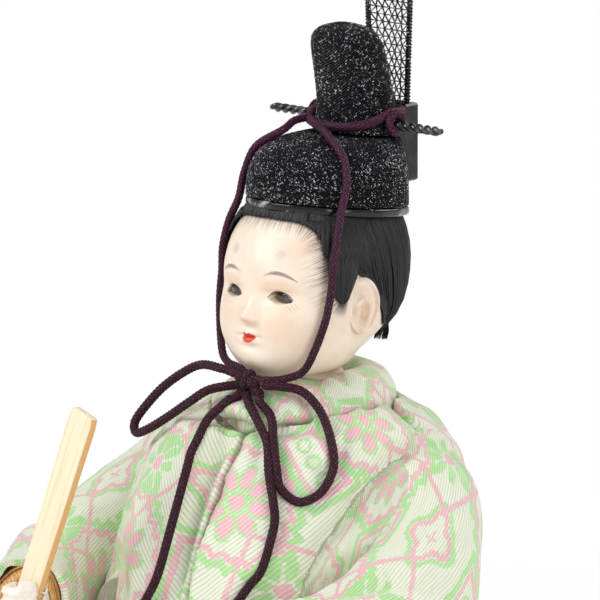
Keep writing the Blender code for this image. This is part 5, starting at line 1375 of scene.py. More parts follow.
class HINA_OT_head(bpy.types.Operator):
    """Add the painted head with its ears"""
    bl_idname = "hina.head"
    bl_label = "Head"

    def execute(self, context):
        neck_bottom, neck_share = CHIN_Z - NECK_LENGTH, 0.06

        def place(u, v):
            even = 2 * u - 1
            turn = math.pi * (0.45 * even + 0.55 * even ** 3)
            if v < neck_share:
                z = neck_bottom + (CHIN_Z - 0.0003 - neck_bottom) * v / neck_share
                return Vector((NECK_RADIUS * math.sin(turn), -NECK_RADIUS * math.cos(turn), z))
            return head_point(turn, 0.995 * ((v - neck_share) / (1 - neck_share)) ** 0.90)

        head = sheet_of("head_painted", 190, 150, place)
        head.data.uv_layers[0].name = "hairline"
        cap_ends(weld(head, 3e-5))
        for side, _ in SIDES:
            self.cut_eye(head, side)
        joined(head, *[self.make_ear(*side) for side in SIDES])
        self.mark_hairline(head)
        fit(shade(head, 0.9), "head", "doll_skin", "doll_skin", "head")
        return {"FINISHED"}

    def cut_eye(self, head, side):
        """Opens the face along the almond line of an eye."""
        deselect()
        corners = [Vector((side * x * MM, 0, z * MM)) for x, z in EYE_OUTLINE + EYE_OUTLINE[:1]]
        outline = curve_through(corners, 0.0002)[:-1]
        bpy.ops.mesh.primitive_circle_add(vertices=len(outline), radius=1.0, fill_type="NGON")
        cutter = named("eye_cutter")
        put_points(cutter, [(point.x, -0.030, point.z) for point in outline])
        edit(cutter, lambda: bpy.ops.mesh.extrude_region_move(
            TRANSFORM_OT_translate={"value": (0.0, 0.0132, 0.0)}),
            lambda: bpy.ops.mesh.select_all(action="SELECT"),
            lambda: bpy.ops.mesh.normals_make_consistent(inside=False))
        apply(head, "BOOLEAN", operation="DIFFERENCE", solver="EXACT", object=cutter)
        bpy.data.objects.remove(cutter)

    def make_ear(self, side, label):
        """An ear with its rim, inner fold, bowl and lobe."""
        tall = settings("face").ear_height
        centre = head_point(side * math.pi * 0.448, 0.360, 0.0002)
        turn = (Matrix.Rotation(side * -0.42, 3, "Z") @ Matrix.Rotation(-0.14, 3, "X")
                @ Matrix.Rotation(side * -0.10, 3, "Y"))
        outward, forward, up = [turn @ Vector(way) for way in ((side, 0, 0), (0, -1, 0), (0, 0, 1))]

        def place(u, v):
            angle = 2 * math.pi * u
            ahead, high = math.cos(angle), math.sin(angle)
            share = 1 - abs(2 * v - 1)
            reach = 1 - share
            x = 0.56 * (1 + 0.16 * high - 0.12 * (high < 0) * high * high) * ahead * tall * reach
            z = high * tall * reach
            if v <= 0.5:
                return centre + forward * x + outward * (0.0003 - 0.0016 * share ** 0.7) + up * z
            ex, ez = reach * ahead, reach * high
            ring = math.hypot(ex - 0.02, (ez + 0.26) * 0.86)
            rim = 0.0008 * math.exp(-((reach - 0.88) / 0.09) ** 2) * min(1.0, max(0.1, 0.55 - ex))
            inner = 0.0011 * math.exp(-((ring - 0.44) / 0.10) ** 2) * min(1.0, max(0.0, 0.75 - ex * 1.6))
            bowl = -0.0015 * math.exp(-(ring / 0.24) ** 2)
            flap = 0.0010 * math.exp(-((ex - 0.44) / 0.13) ** 2 - ((ez + 0.24) / 0.20) ** 2)
            lobe = 0.0007 * math.exp(-((ex - 0.10) / 0.30) ** 2 - ((ez + 0.80) / 0.18) ** 2)
            leaf = 0.0005 * math.exp(-((ex + 0.05) / 0.35) ** 2 - ((ez - 0.45) / 0.25) ** 2)
            flare = 0.0010 * max(0.0, -ahead) * reach * (1 - 0.8 * max(0.0, ez))
            sink = 0.0012 * max(0.0, ex) ** 2 + 0.0008 * max(0.0, ez) ** 2
            proud = 0.0009 + rim + inner + bowl + flap + lobe + leaf + flare - sink
            return centre + forward * x + outward * proud + up * z

        ear = sheet_of("ear_" + label, 80, 72, place)
        ear.data.uv_layers[0].name = "hairline"
        weld(ear, 1e-5)
        return apply(ear, "SMOOTH", factor=0.5, iterations=1)

    def mark_hairline(self, head):
        """The map of the brush strokes: along the hairline, and away from it, in millimetres."""
        line = []
        steps = 260
        for index in range(-steps, steps + 1):
            share = abs(index) / steps
            side = 1 if index >= 0 else -1
            if share < 0.72:
                turn = math.pi * 0.334 * share / 0.72
                line.append(head_point(side * turn, hair_edge(turn)))
            else:
                down = (share - 0.72) / 0.28
                height = 0.565 - 0.165 * down
                up = 1 - down
                half = 0.012 + 0.045 * up ** 0.8
                line.append(head_point(side * math.pi * (0.388 - 0.006 * up - half), height))
        spans = spans_of(line)
        tree = KDTree(len(line))
        for index, point in enumerate(line):
            tree.insert(point, index)
        tree.balance()
        spots = []
        for place in points_of(head):
            point = Vector(place)
            _, index, gap = tree.find(point)
            turn = math.atan2(point.x, -point.y)
            height = (point.z - CHIN_Z) / HEAD_HEIGHT
            signed = gap if height < hair_edge(turn) else -gap
            beyond = max(0.0, abs(turn) / math.pi - 0.345) * 150.0
            spots.append((spans[index] / MM, signed / MM + beyond))
        layer = head.data.uv_layers["hairline"]
        for loop in head.data.loops:
            layer.data[loop.index].uv = spots[loop.vertex_index]


class HINA_OT_eyes(bpy.types.Operator):
    """Add the glass eyes"""
    bl_idname = "hina.eyes"
    bl_label = "Eyes"

    def execute(self, context):
        for side, label in SIDES:
            deselect()
            bpy.ops.mesh.primitive_uv_sphere_add(segments=48, ring_count=24, radius=1.0)
            eye = named("eye_%s_glass" % label)
            surface = head_point(side * 0.36, 0.412)
            turn = np.array(Matrix.Rotation(side * 0.36, 3, "Z"))
            shape = points_of(eye) * np.array([0.0036, 0.0026, 0.0024])
            middle = np.array((surface.x, surface.y + 0.0031, 0.1531))
            put_points(eye, shape @ turn.T + middle)
            fit(shade(eye, 1.2), "head", "eye_glass", "eye_glass", "eye_" + label)
        return {"FINISHED"}


def strand_mesh(name, locks):
    """Many fine locks of thread as one mesh: each is a list of points with its radius at the root."""
    verts, faces, spots = [], [], []
    for number, (points, radius) in enumerate(locks):
        count = len(points)
        base = len(verts)
        along = 0.0
        for index, point in enumerate(points):
            ahead, behind = points[min(index + 1, count - 1)], points[max(index - 1, 0)]
            tangent = (ahead - behind).normalized()
            out = Vector((point.x, point.y - 0.002, 0.0)).normalized()
            side = tangent.cross(out).normalized()
            out = side.cross(tangent)
            share = index / (count - 1)
            width = radius * (1.0 - 0.75 * share ** 4) * (0.55 + 0.45 * min(1.0, share * 6))
            along += (point - behind).length / MM
            for a, b in ((1.5, 0.0), (0.0, 0.8), (-1.5, 0.0), (0.0, -0.8)):
                verts.append(point + side * a * width + out * b * width)
                spots.append((number * 1.37 + a * 0.2, along))
        for index in range(count - 1):
            for step in range(4):
                a, b = base + index * 4 + step, base + index * 4 + (step + 1) % 4
                faces.append((a, b, b + 4, a + 4))
        faces.append(tuple(base + step for step in (3, 2, 1, 0)))
        faces.append(tuple(base + (count - 1) * 4 + step for step in range(4)))
    piece = add_mesh(name, verts, faces)
    layer = piece.data.uv_layers.new(name="hair")
    for loop in piece.data.loops:
        layer.data[loop.index].uv = spots[loop.vertex_index]
    edit(piece, lambda: bpy.ops.mesh.normals_make_consistent(inside=False))
    return shade(piece, 1.3)


class HINA_OT_hair(bpy.types.Operator):
    """Add the hair: a combed mass with fine locks over it, the sideburns and the tied nape lock"""
    bl_idname = "hina.hair"
    bl_label = "Hair"

    def execute(self, context):
        hair = settings("hair")
        rng = random.Random(7)

        def place(u, v):
            turn = math.pi * (2 * u - 1)
            low = hair_edge(turn) + 0.006 * math.sin(turn * 34) * (abs(turn) > 1.75)
            top = 0.865 - CROWN_TILT * 0.2 * (1 - math.cos(turn))
            swap = v if v < 0.5 else 1 - v
            height = low + (top - low) * swap * 2
            if v < 0.5:
                rounding = min(1.0, 0.30 + 2.4 * v)
                return head_point(turn, height, HAIR_GAP + (hair_thick(turn) - 0.0001) * rounding, face=False)
            return head_point(turn, height, HAIR_GAP * 0.5, face=False)

        mass = stretch_map(sheet_of("hair_mass", 150, 60, place), 110.0, 60.0, "hair")
        fit(shade(weld(mass, 1e-5), 1.3), "head", "hair_silk", "hair_silk")
        locks = []
        for index in range(hair.count):
            turn = math.pi * (2 * (index + rng.random()) / hair.count - 1)
            low = hair_edge(turn) - (rng.random() * 0.014 if abs(turn) > 1.65 else 0.0)
            top = 0.775 - CROWN_TILT * 0.2 * (1 - math.cos(turn))
            if abs(turn) < math.pi * 0.19:
                top = 0.83
            drift = (rng.random() - 0.5) * 0.10 + 0.10 * math.sin(turn) * (abs(turn) > 1.0)
            lift = 0.00002 + rng.random() * 0.00022
            points = []
            for step in range(9):
                share = step / 8
                height = top + (low - top) * share
                at = turn + drift * share ** 1.5
                rounding = min(1.0, 0.35 + 1.5 * (1 - share))
                points.append(head_point(at, height, HAIR_GAP + hair_thick(at) * rounding + lift, face=False))
            locks.append((points, hair.strand * (0.7 + 0.6 * rng.random())))
        for side, label in SIDES:
            locks += self.sideburn(side, rng, hair.strand)
            fit(self.sideburn_mass(side, label), "head", "hair_silk", "hair_silk")
        fit(strand_mesh("hair_strands", locks), "head", "hair_silk", "hair_silk",
            "hair_bob", "sideburn_left", "sideburn_right")
        self.nape(rng, hair.strand)
        return {"FINISHED"}

    def sideburn_point(self, side, across, down, depth):
        """A spot in the rounded lock before the ear."""
        up = 1 - down
        half = 0.036 + 0.036 * up ** 0.9
        low = 0.382 + 0.060 * abs(across) ** 2.6
        turn = side * math.pi * (0.372 + 0.022 * up + half * across)
        thick = HAIR_FRONT_THICK * (0.4 + 1.1 * up) * (1 - 0.7 * abs(across) ** 3)
        return head_point(turn, 0.60 + (low - 0.60) * down, HAIR_GAP + depth * thick, face=False)

    def sideburn(self, side, rng, radius):
        """The fine locks before the ear."""
        locks = []
        for index in range(90):
            across = rng.random() * 2 - 1
            depth = 0.5 + rng.random() * 0.6
            locks.append(([self.sideburn_point(side, across, step / 8, depth) for step in range(9)], radius))
        return locks

    def sideburn_mass(self, side, label):
        """The body of the lock before the ear."""
        def place(u, v):
            down = 2 * v if v < 0.5 else 2 - 2 * v
            return self.sideburn_point(side, 2 * u - 1, 0.99 * down, 0.75 if v < 0.5 else -0.3)

        mass = stretch_map(sheet_of("sideburn_%s_mass" % label, 24, 40, place), 8.0, 20.0, "hair")
        return shade(cap_ends(weld(mass, 1e-5)), 1.3)

    def nape(self, rng, radius):
        """The short tail at the nape with its purple tie."""
        tie_at = 0.58
        line = curve_through([(0.0012, 0.0150, 0.1462), (0.0020, 0.0184, 0.1438), (0.0021, 0.0200, 0.1413),
                              (0.0017, 0.0194, 0.1380)], 0.0002)
        locks = []
        for index in range(70):
            angle, reach = rng.random() * 2 * math.pi, math.sqrt(rng.random()) * 0.0012
            points = []
            for step in range(8):
                share = step / 7
                pinch = 1.1 - 0.70 * math.exp(-((share - tie_at) / 0.16) ** 2) + 0.35 * share
                centre = line[round(share * (len(line) - 1))]
                points.append(centre + Vector((math.cos(angle), math.sin(angle) * 0.8, 0)) * reach * pinch)
            locks.append((points, radius * 0.9))
        fit(strand_mesh("nape_lock_strands", locks), "head", "hair_silk", "hair_silk", "nape_lock")
        middle = line[round(tie_at * (len(line) - 1))]
        wraps = [middle + Vector((0.0010 * math.cos(angle), 0.0009 * math.sin(angle),
                                  (angle / (6 * math.pi) - 0.5) * 0.0022)) for angle in angles(40, 3)]
        tie = tube_of("nape_tie_cord", wraps, 0.00042, 12, braid_relief(0.0004))
        fit(tie, "head", "cord_silk", "cord_silk", "nape_tie")


def gauze_net(name, place, columns, rows, thread):
    """A net of crossing threads: diamonds laid over a form, then drawn out as thread."""
    rng = random.Random(len(name))
    verts, faces = [], []
    for row in range(rows + 1):
        for column in range(columns):
            u = (column + 0.5 * (row % 2) + (rng.random() - 0.5) * 0.24) / columns
            v = (row + (rng.random() - 0.5) * 0.30) / rows
            verts.append(place(u, min(max(v, 0.0), 1.0), rng.random() - 0.5))
    for row in range(rows - 1):
        for column in range(columns):
            left = (column + (row % 2)) % columns
            right = (column + (row % 2) + columns - 1) % columns
            faces.append((row * columns + column, (row + 1) * columns + left, (row + 2) * columns + column,
                          (row + 1) * columns + right))
    net = add_mesh(name, verts, faces)
    edit(net, lambda: bpy.ops.mesh.delete_loose(), lambda: bpy.ops.mesh.normals_make_consistent(inside=False))
    return apply(net, "WIREFRAME", thickness=thread, use_replace=True, use_even_offset=False, use_boundary=True)


class HINA_OT_crown(bpy.types.Operator):
    """Add the crown: gauze cap, lacquered rim, topknot cover and pin"""
    bl_idname = "hina.crown"
    bl_label = "Crown"

    def execute(self, context):
        def cap_place(u, v):
            turn = math.pi * (2 * u - 1)
            if v < 0.15:
                return cap_point(turn, 0.02, -CAP_WALL * (1 - v / 0.15))
            if v > 0.9:
                top = cap_point(turn, 1.0, -0.0002)
                return top.lerp(Vector((0.0, CAP_CENTRE_Y + 0.43 * CAP_HALF_DEPTH, top.z)), (v - 0.9) / 0.1)
            return cap_point(turn, (v - 0.15) / 0.75, -0.00018)

        def cap_net(u, v, jitter):
            return cap_point(2 * math.pi * u, v, 0.00003 + jitter * 0.00008)

        def koji_place(u, v):
            return koji_point(math.pi * (2 * u - 1), v, -0.00020)

        def koji_net(u, v, jitter):
            return koji_point(2 * math.pi * u, v * 0.998, 0.00002 + jitter * 0.00008)

        cap = weld(sheet_of("crown_cap_ground", 120, 60, cap_place), 2e-5)
        self.cover("cap", cap, 3, cap_net, 0.0178, 0.0205)
        koji = cap_ends(weld(sheet_of("crown_topknot_ground", 80, 60, koji_place), 2e-5))
        self.cover("topknot", koji, 5, koji_net, 0.0080, 0.0300)
        self.make_rim()
        self.make_pin()
        return {"FINISHED"}

    def cover(self, label, ground, seed, net, radius, length):
        """Finishes a form of the crown and lays a net over it that is as fine as its radius and length ask."""
        crown = settings("crown")
        soften(ground, 0.00022, seed, 4.0)
        fit(shade(ground, 1.2), "head", "gauze_ground", "black_gauze", "crown_" + label)
        columns, rows = round(2 * math.pi * radius / crown.pitch), round(length / crown.pitch * 2)
        net = gauze_net("crown_%s_net" % label, net, columns, rows, crown.thread)
        fit(net, "head", "gauze_thread", "black_gauze")

    def make_rim(self):
        section = [(1.0, 0.0), (0.30, -0.02), (0.06, 0.16), (0.0, 0.5), (0.06, 0.84), (0.30, 1.02), (1.0, 1.0)]
        proud = (RIM_WALL - CAP_WALL) / 2

        def place(u, v):
            turn = math.pi * (2 * u - 1)
            inward, down = section[int(round(v * 7)) % 7]
            wave = 0.00010 * math.sin(turn * 9) + 0.00008 * math.sin(turn * 17 + 1)
            out = proud - inward * RIM_WALL + wave * (1 - inward)
            return cap_point(turn, 0.0, out, GAP + down * RIM_HEIGHT)

        rim = weld(sheet_of("crown_rim_band", 180, 7, place), 1e-5)
        apply(rim, "BEVEL", width=0.00008, segments=2)
        fit(shade(rim, 0.9), "head", "rim_lacquer", "black_lacquer", "crown_rim")

    def make_pin(self):
        """A plain rod inside the topknot, twisted like a rope at both ends."""
        inner, step, reach, count = PIN_LENGTH / 2 - PIN_BEADED, 0.0005, 0.00046, 130
        rod = [Vector((x * step - inner - 0.001, KOJI_BASE_Y, PIN_Z))
               for x in range(int((2 * inner + 0.002) / step) + 1)]
        parts = [tube_of("pin_rod", rod, 0.0007, 16)]
        for side, _ in SIDES:
            for strand in (0, 1):
                turns = []
                for index in range(count + 1):
                    share = index / count
                    angle = 2 * math.pi * (share * 3.6 + strand / 2)
                    end = min(1.0, (1 - share) * 9 + 0.25)
                    turns.append(Vector((side * (inner - 0.0005 + (PIN_BEADED - 0.0001) * share),
                                         KOJI_BASE_Y + reach * math.cos(angle) * end,
                                         PIN_Z + reach * math.sin(angle) * end)))
                parts.append(tube_of("pin_twist", turns, 0.00062, 14))
        pin = joined(*parts)
        pin.name = "crown_pin_twisted"
        fit(shade(pin, 1.2), "hair_pin", "pin_lacquer", "black_lacquer", "crown_pin")


class HINA_OT_tail(bpy.types.Operator):
    """Add the tall openwork tail of the crown"""
    bl_idname = "hina.tail"
    bl_label = "Crown tail"

    def execute(self, context):
        low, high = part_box("tail_net")
        middle_y = (low.y + high.y) / 2
        length = high.z - low.z
        cells, rows, base, stitches = 6, 42, 0.0043, 85

        def half_at(z):
            share = (z - low.z) / length
            return base + (high.x - base) * min(share / 0.93, 1.0)

        def limit(z):
            top = high.z - 0.0040
            share = min(max(z - top, 0.0) / 0.0041, 1.0)
            return half_at(z) * math.sqrt(1 - share * share)

        deselect()
        bpy.ops.mesh.primitive_grid_add(x_subdivisions=cells, y_subdivisions=rows, size=2.0)
        net = named("tail_net_threads")
        places = []
        for x, y, _ in points_of(net):
            z = low.z + (y + 1) / 2 * length
            row = round((y + 1) / 2 * rows)
            shift = (row % 2) / cells * (1 - abs(x)) if abs(x) < 0.999 else 0.0
            places.append(((x + shift) * limit(z), middle_y, z))
        put_points(net, places)
        edit(net, lambda: bpy.ops.mesh.quads_convert_to_tris(quad_method="SHORTEST_DIAGONAL"),
             lambda: bpy.ops.mesh.remove_doubles(threshold=1e-5))
        apply(net, "WIREFRAME", thickness=0.00058, use_replace=True, use_even_offset=False, use_boundary=True)
        fit(net, "crown_tail", "gauze_thread", "black_gauze", "tail_net")
        for side, _ in SIDES:
            coil = []
            for angle in angles(12, stitches):
                z = low.z + 0.0010 + (length - 0.0060) * angle / (2 * math.pi * stitches)
                coil.append(Vector((side * (half_at(z) + 0.00055 + 0.00062 * math.cos(angle)),
                                    middle_y + 0.00058 * math.sin(angle), z)))
            fit(tube_of("tail_stitches", coil, 0.00013, 6), "crown_tail", "gauze_thread", "black_gauze")
        finish_nodes("black_lacquer", "tail_frame", "tail_holder")
        return {"FINISHED"}


def robe_chart(shift_u, shift_v, mirror=1.0, lean=0.0):
    """Lays cloth round the body: across by angle, along up the front and in over the shoulders, and
    turned by its lean."""
    period = 6 * 31.0 * settings("cloth").motif

    def chart(point):
        angle = math.atan2(point.x, -point.y)
        radius = math.hypot(point.x, point.y) / MM
        along = 0.88 * point.z / MM + 0.45 * (48.0 - radius)
        u, v = mirror * angle / (2 * math.pi) * period - shift_u, along - shift_v
        if lean:
            return (u * math.cos(lean) + v * math.sin(lean), v * math.cos(lean) - u * math.sin(lean), None, None)
        return (u, v, period, None)

    return chart


def sleeve_chart(side, shift_u, shift_v, upright=False):
    """Lays cloth round a sleeve: along its length and round its section; upright stands its ribs up."""
    steps = 200
    line = [sleeve_row(index / steps) for index in range(steps + 1)]
    spans = [0.0]
    for a, b in zip(line, line[1:]):
        spans.append(spans[-1] + math.hypot(b[0] - a[0], b[1] - a[1]) / MM)
    around = 3 * 35.0 * settings("cloth").motif

    def chart(point):
        best, index = min(((side * point.x - row[0]) ** 2 + (point.y - row[1]) ** 2, number)
                          for number, row in enumerate(line[::2]))
        index *= 2
        x, y, top, bottom, thick, lean = line[index]
        a, b = line[min(index + 2, steps)], line[max(index - 2, 0)]
        along = Vector((side * (a[0] - b[0]), a[1] - b[1], 0.0)).normalized()
        outward = Vector((-along.y, along.x, 0.0)) * side
        away = Vector((point.x - side * x, point.y - y, 0.0))
        off = away.dot(outward)
        length = spans[index] + min(max(away.dot(along) / MM, -3.0), 3.0)
        level = (point.z - (top + bottom) / 2) / ((top - bottom) / 2)
        angle = math.atan2(level, (off - lean * (1 - level) / 2) / thick)
        if upright:
            return (angle / (2 * math.pi) * around * 1.5, 0.0, around * 1.5, None)
        return (length - shift_u, angle / (2 * math.pi) * around - shift_v, None, around)

    return chart


# The crease where a sleeve is set in at the shoulder, on the picture, and the way each sleeve's cloth is laid
CREASE = [(409, 449), (391, 456), (374, 472), (356, 492), (338, 519), (320, 542)]
SHOULDER = [(440, 440), *CREASE, (305, 572), (300, 590)]
CREASE_FOLD = [(434, 445), *CREASE, (307, 570)]
SLEEVE_LAY = {1: (9.6, 43.4), -1: (48.3, 11.1)}
SLEEVE_FOLDS = [
    (2.1, 1.8, [(246, 598), (291, 587), (320, 581), (347, 577), (386, 570), (406, 572), (430, 580)]),
    (1.5, 1.5, CREASE_FOLD),
    (0.60, 1.0, [(350, 372), (372, 392), (384, 410)]),
    (0.60, 1.0, [(380, 380), (402, 404), (410, 426)]),
    (0.55, 1.3, [(449, 455), (430, 470), (420, 492)]),
    (0.55, 1.3, [(470, 530), (448, 540), (432, 560)]),
]
ROBE_FOLDS = [
    (2.1, 1.6, [(232, 420), (219, 447), (199, 489), (188, 531), (182, 589)]),
    (1.8, 1.5, [(134, 432), (125, 464), (117, 503), (115, 527), (121, 560), (127, 598)]),
    (1.7, 1.7, CREASE_FOLD),
    (1.2, 1.3, [(225, 420), (259, 426), (278, 426), (316, 426), (345, 424)]),
    (0.70, 0.9, [(283, 378), (300, 398), (322, 414)]),
    (0.70, 0.9, [(305, 374), (330, 392), (352, 400)]),
    (0.60, 0.9, [(330, 370), (352, 384), (378, 392)]),
    (0.60, 1.0, [(268, 428), (262, 450), (250, 470)]),
    (0.50, 1.1, [(290, 430), (312, 448), (322, 470)]),
    (0.65, 1.2, [(350, 425), (338, 452), (318, 482)]),
]


class HINA_OT_robe(bpy.types.Operator):
    """Add the padded brocade robe: fronts, back, skirt and collar"""
    bl_idname = "hina.robe"
    bl_label = "Robe"

    def execute(self, context):
        self.pad("robe_front_left", robe_chart(9.6, 102.6, 1.0, 0.55), 11)
        self.pad("robe_front_right", robe_chart(16.2, 86.0, -1.0), 12)
        self.pad("robe_back", robe_chart(0.0, 102.6), 13)
        self.pad("robe_skirt", robe_chart(0.0, 30.0), 14)
        self.pad("collar_roll", robe_chart(22.0, 118.0), 15, 0.0009, 0.0005)
        return {"FINISHED"}

    def lift(self, piece):
        """Draws the collar up to the jaw at the sides and the nape."""
        places = points_of(piece)
        turn = np.abs(np.arctan2(places[:, 0], -places[:, 1]))
        side = np.clip((turn - 0.75) / 0.7, 0.0, 1.0)
        top = np.clip((places[:, 2] - 0.126) / 0.006, 0.0, 1.0)
        places[:, 2] += 0.0019 * side * side * (3 - 2 * side) * top
        put_points(piece, places)

    def beyond_shoulder(self, places, side):
        """How far points lie past the sleeve's crease, in millimetres on the picture, and how they face it."""
        seen = on_picture(places * np.array([side, 1.0, 1.0]))
        best, beyond = np.full(len(places), 1e9), np.zeros(len(places))
        for a, b in zip(SHOULDER, SHOULDER[1:]):
            a, b = np.array(a, float), np.array(b, float)
            d = b - a
            t = np.clip(((seen - a) @ d) / (d @ d), 0.0, 1.0)
            gap = np.linalg.norm(seen - a - t[:, None] * d, axis=1)
            way = np.sign(d[1] * (seen[:, 0] - a[0]) - d[0] * (seen[:, 1] - a[1]))
            beyond = np.where(gap < best, way * gap / (PICTURE_SCALE * MM), beyond)
            best = np.minimum(best, gap)
        return beyond

    def join_sleeve(self, piece, side, chart):
        """Fills the front out toward the sleeve past the crease, and lays the sleeve's cloth on it."""
        places, normals = points_of(piece), normals_of(piece)
        facing = (normals * np.array([side, 1.0, 1.0])) @ np.array(CAMERA_BACK) > 0.05
        beyond = np.where(facing, self.beyond_shoulder(places, side), -1.0)
        rise = np.clip((beyond - 0.3) / 8.0, 0.0, 1.0)
        rise = rise * rise * (3 - 2 * rise) * np.clip((17.0 - beyond) / 5.0, 0.0, 1.0)
        put_points(piece, places + normals * (0.0042 * rise)[:, None])
        sleeve, ribs = self.flat_chart(side, False), self.flat_chart(side, True)
        past = {tuple(np.round(spot, 6)) for spot, far in zip(points_of(piece), beyond) if far > 0.0}

        def laid(on_sleeve, on_front):
            return lambda point: (on_sleeve if tuple(np.round(point, 6)) in past else on_front)(point)

        return laid(sleeve, chart), laid(ribs, robe_chart(0.0, 0.0, float(side)))

    def flat_chart(self, side, upright):
        """The sleeve's own lay of cloth near its crease, carried on flat over the shoulder."""
        chart = sleeve_chart(side, *SLEEVE_LAY[side], upright)
        spots = [sleeve_point(place / 40, angle / 20, side) for place in range(24) for angle in range(20, 62)]
        seen = on_picture(np.array([tuple(spot) for spot in spots]) * np.array([side, 1.0, 1.0]))
        near = [index for index, (x, y) in enumerate(seen) if 355 < x < 425 and 455 < y < 555
                and 0.0 < spots[index].x * side]
        laid = np.array([chart(spots[index])[:2] for index in near])
        rows = np.column_stack([seen[near], np.ones(len(near))])
        fitted = np.linalg.lstsq(rows, laid, rcond=None)[0]

        def flat(point):
            x, y = on_picture(np.array([[point.x * side, point.y, point.z]]))[0]
            u, v = np.array([x, y, 1.0]) @ fitted
            return (float(u), float(v), None, None)

        return flat

    def pad(self, node, chart, seed, voxel=None, cap=None):
        cloth = settings("cloth")
        piece = cad_copy(node + "_cloth", node)
        apply(piece, "REMESH", mode="VOXEL", voxel_size=voxel or cloth.voxel, use_smooth_shade=True)
        apply(piece, "SMOOTH", factor=0.6, iterations=3)
        padded_swell(piece, cap or cloth.swell)
        apply(piece, "SUBSURF", levels=1, render_levels=1)
        if node == "collar_roll":
            self.lift(piece)
        soften(piece, 0.00030, seed)
        weave = robe_chart(0.0, 0.0)
        if node.startswith("robe_front"):
            side = 1 if node.endswith("left") else -1
            chart, weave = self.join_sleeve(piece, side, chart)
        lay_cloth(piece, chart, weave)
        fold(piece, ROBE_FOLDS)
        fit(shade(piece, 1.4), "seated_body", "brocade_silk", "robe_silk", node)


class HINA_OT_sleeves(bpy.types.Operator):
    """Add the padded brocade sleeves and their gold inner sleeves"""
    bl_idname = "hina.sleeves"
    bl_label = "Sleeves"

    def execute(self, context):
        for side, label in SIDES:
            self.outer(side, label)
            self.inner(side, label)
        return {"FINISHED"}

    def outer(self, side, label):
        def place(u, v):
            return sleeve_point(v, 2 * math.pi * u + math.pi, side, 0.0003)

        sleeve = sheet_of("sleeve_%s_cloth" % label, 84, 74, place)
        weld(sleeve, 2e-5)
        lay_cloth(sleeve, sleeve_chart(side, *SLEEVE_LAY[side]), sleeve_chart(side, 0.0, 0.0, True))
        cap_ends(sleeve)
        padded_swell(sleeve, settings("cloth").swell)
        mouth = sleeve_row(1.0)
        centre = Vector((side * mouth[0], mouth[1], 0.0))
        way = forearm(side)
        delete_faces(sleeve, lambda face: len(face.vertices) > 4 and (face.center - centre).dot(way) > -0.02)
        apply(sleeve, "SUBSURF", levels=1, render_levels=1)
        fold(sleeve, SLEEVE_FOLDS)
        soften(sleeve, 0.00035, 21 + side)
        apply(sleeve, "SOLIDIFY", thickness=CLOTH_WALL, offset=-1.0, use_rim=True)
        fit(shade(sleeve, 1.4), "seated_body", "brocade_silk", "robe_silk", "sleeve_" + label)

    def inner(self, side, label):
        depth = CLOTH_WALL + 3 * GAP
        way = forearm(side)
        wrist = HAND[side] - way * 0.004

        def place(u, v):
            angle = 2 * math.pi * u
            if v > 0.5:
                share = (v - 0.5) / 0.5
                edge = sleeve_point(1.0, angle, side, depth)
                inner = wrist + (edge - wrist) * 0.42
                bulge = way * (0.0014 * math.sin(math.pi * min(1.0, share * 1.25)) - 0.0012)
                return edge.lerp(inner, share) + bulge - way * 0.004 * share ** 3
            return sleeve_point(0.88 + 0.12 * v / 0.5, angle, side, depth)

        cuff = sheet_of("inner_sleeve_%s_cloth" % label, 96, 48, place)
        weld(cuff, 2e-5)
        apply(cuff, "SOLIDIFY", thickness=LINING_WALL, offset=-1.0, use_rim=True)
        apply(cuff, "BEVEL", width=0.0003, segments=3, limit_method="ANGLE", angle_limit=0.9)
        soften(cuff, 0.00020, 31 + side, 5.0)
        lay_cloth(cuff, sleeve_chart(side, 0.0, 0.0))
        fit(shade(cuff, 1.2), "seated_body", "gold_cloth", "gold_weave", "inner_sleeve_" + label)


class HINA_OT_lower(bpy.types.Operator):
    """Add the wide silk trousers and the belt"""
    bl_idname = "hina.lower"
    bl_label = "Trousers and belt"

    def execute(self, context):
        cloth = settings("cloth")
        for side, label in SIDES:
            node = "hakama_" + label
            piece = cad_copy(node + "_cloth", node)
            apply(piece, "REMESH", mode="VOXEL", voxel_size=0.0014, use_smooth_shade=True)
            apply(piece, "SMOOTH", factor=0.6, iterations=2)
            padded_swell(piece, cloth.swell * 0.6)
            apply(piece, "SUBSURF", levels=1, render_levels=1)
            soften(piece, 0.00035, 41 + side, 9.0)
            lay_cloth(piece, robe_chart(0.0, 20.0, float(side)))
            fit(shade(piece, 1.4), "seated_body", "white_silk", "white_silk", node)
        belt = cad_copy("waist_belt_strap", "waist_belt")
        apply(belt, "BEVEL", width=0.0003, segments=3, limit_method="ANGLE", angle_limit=0.9)
        lay_cloth(belt, robe_chart(0.0, 0.0))
        fit(shade(belt, 0.9), "seated_body", "belt_black", "belt_black", "waist_belt")
        return {"FINISHED"}


class HINA_OT_hands(bpy.types.Operator):
    """Add the hands and the baton"""
    bl_idname = "hina.hands"
    bl_label = "Hands and baton"

    def execute(self, context):
        for _, label in SIDES:
            hand = cad_copy("hand_%s_carved" % label, "hand_" + label)
            apply(hand, "REMESH", mode="VOXEL", voxel_size=0.00030, use_smooth_shade=True)
            apply(hand, "SMOOTH", factor=0.5, iterations=5)
            fit(shade(hand, 1.3), label + "_hand", "hand_white", "doll_skin", "hand_" + label)
        baton = cad_copy("shaku_baton_wood", "shaku_baton")
        apply(baton, "BEVEL", width=0.00018, segments=3, limit_method="ANGLE", angle_limit=0.6)
        fit(shade(baton, 0.6), "baton", "pale_wood", "pale_wood", "shaku_baton")
        # The narrow side faces take the second finish, the wood in painted shade
        baton.data.materials.append(look("pale_wood_edge"))
        across = Vector((0.95, -0.12, -0.29)).normalized()
        for face in baton.data.polygons:
            face.material_index = int(abs(face.normal.dot(across)) > 0.75)
        return {"FINISHED"}


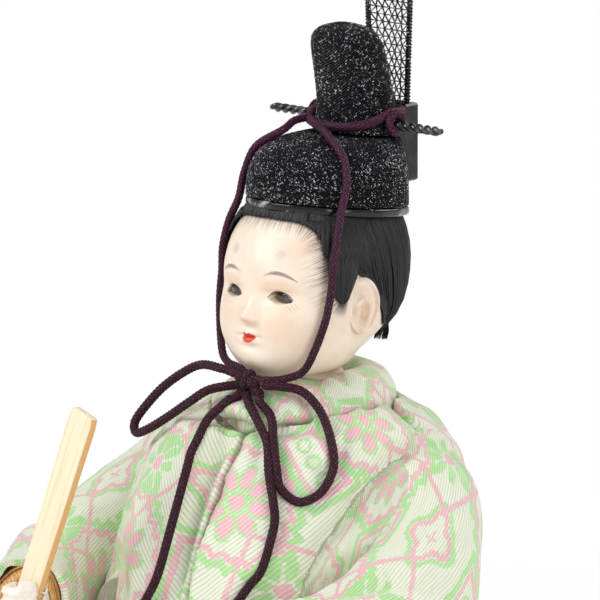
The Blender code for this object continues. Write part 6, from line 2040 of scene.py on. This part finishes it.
class HINA_OT_base(bpy.types.Operator):
    """Finish the seat board and the parts hidden inside the robe"""
    bl_idname = "hina.base"
    bl_label = "Seat and core"

    def execute(self, context):
        finish_nodes("pale_wood", "seat_board", "neck_socket", "neck_peg")
        finish_nodes("straw", "straw_body")
        finish_nodes("iron_wire", "arm_wire_left", "arm_wire_right")
        return {"FINISHED"}


class HINA_PT_panel(bpy.types.Panel):
    """Lists the doll's pieces and their settings"""
    bl_idname = "HINA_PT_panel"
    bl_label = "Hina Doll"
    bl_space_type = "VIEW_3D"
    bl_region_type = "UI"
    bl_category = "Hina Doll"

    def draw(self, context):
        for operator in OPERATORS:
            self.layout.operator(operator.bl_idname)
        for kind, group in SETTINGS.items():
            box = self.layout.box()
            box.label(text=kind.capitalize())
            for name in group.__annotations__:
                box.prop(settings(kind), name)


SETTINGS = {
    "stage": HinaStageSettings, "cord": HinaCordSettings, "face": HinaFaceSettings, "hair": HinaHairSettings,
    "crown": HinaCrownSettings, "cloth": HinaClothSettings, "wood": HinaWoodSettings,
}
OPERATORS = (
    HINA_OT_stage, HINA_OT_cords, HINA_OT_head, HINA_OT_eyes, HINA_OT_hair, HINA_OT_crown, HINA_OT_tail,
    HINA_OT_robe, HINA_OT_sleeves, HINA_OT_lower, HINA_OT_hands, HINA_OT_base,
)


def register():
    for group in SETTINGS.values():
        bpy.utils.register_class(group)
    for kind, group in SETTINGS.items():
        setattr(bpy.types.Scene, "hina_" + kind, bpy.props.PointerProperty(type=group))
    for operator in OPERATORS:
        bpy.utils.register_class(operator)
    bpy.utils.register_class(HINA_PT_panel)


def unregister():
    bpy.utils.unregister_class(HINA_PT_panel)
    for operator in reversed(OPERATORS):
        bpy.utils.unregister_class(operator)
    for kind, group in SETTINGS.items():
        delattr(bpy.types.Scene, "hina_" + kind)
        bpy.utils.unregister_class(group)


def main():
    register()
    make_groups()
    for operator in OPERATORS:
        family, name = operator.bl_idname.split(".")
        result = getattr(getattr(bpy.ops, family), name)()
        if "FINISHED" not in result:
            raise RuntimeError(operator.bl_label + " was not finished")


if __name__ == "__main__":
    main()
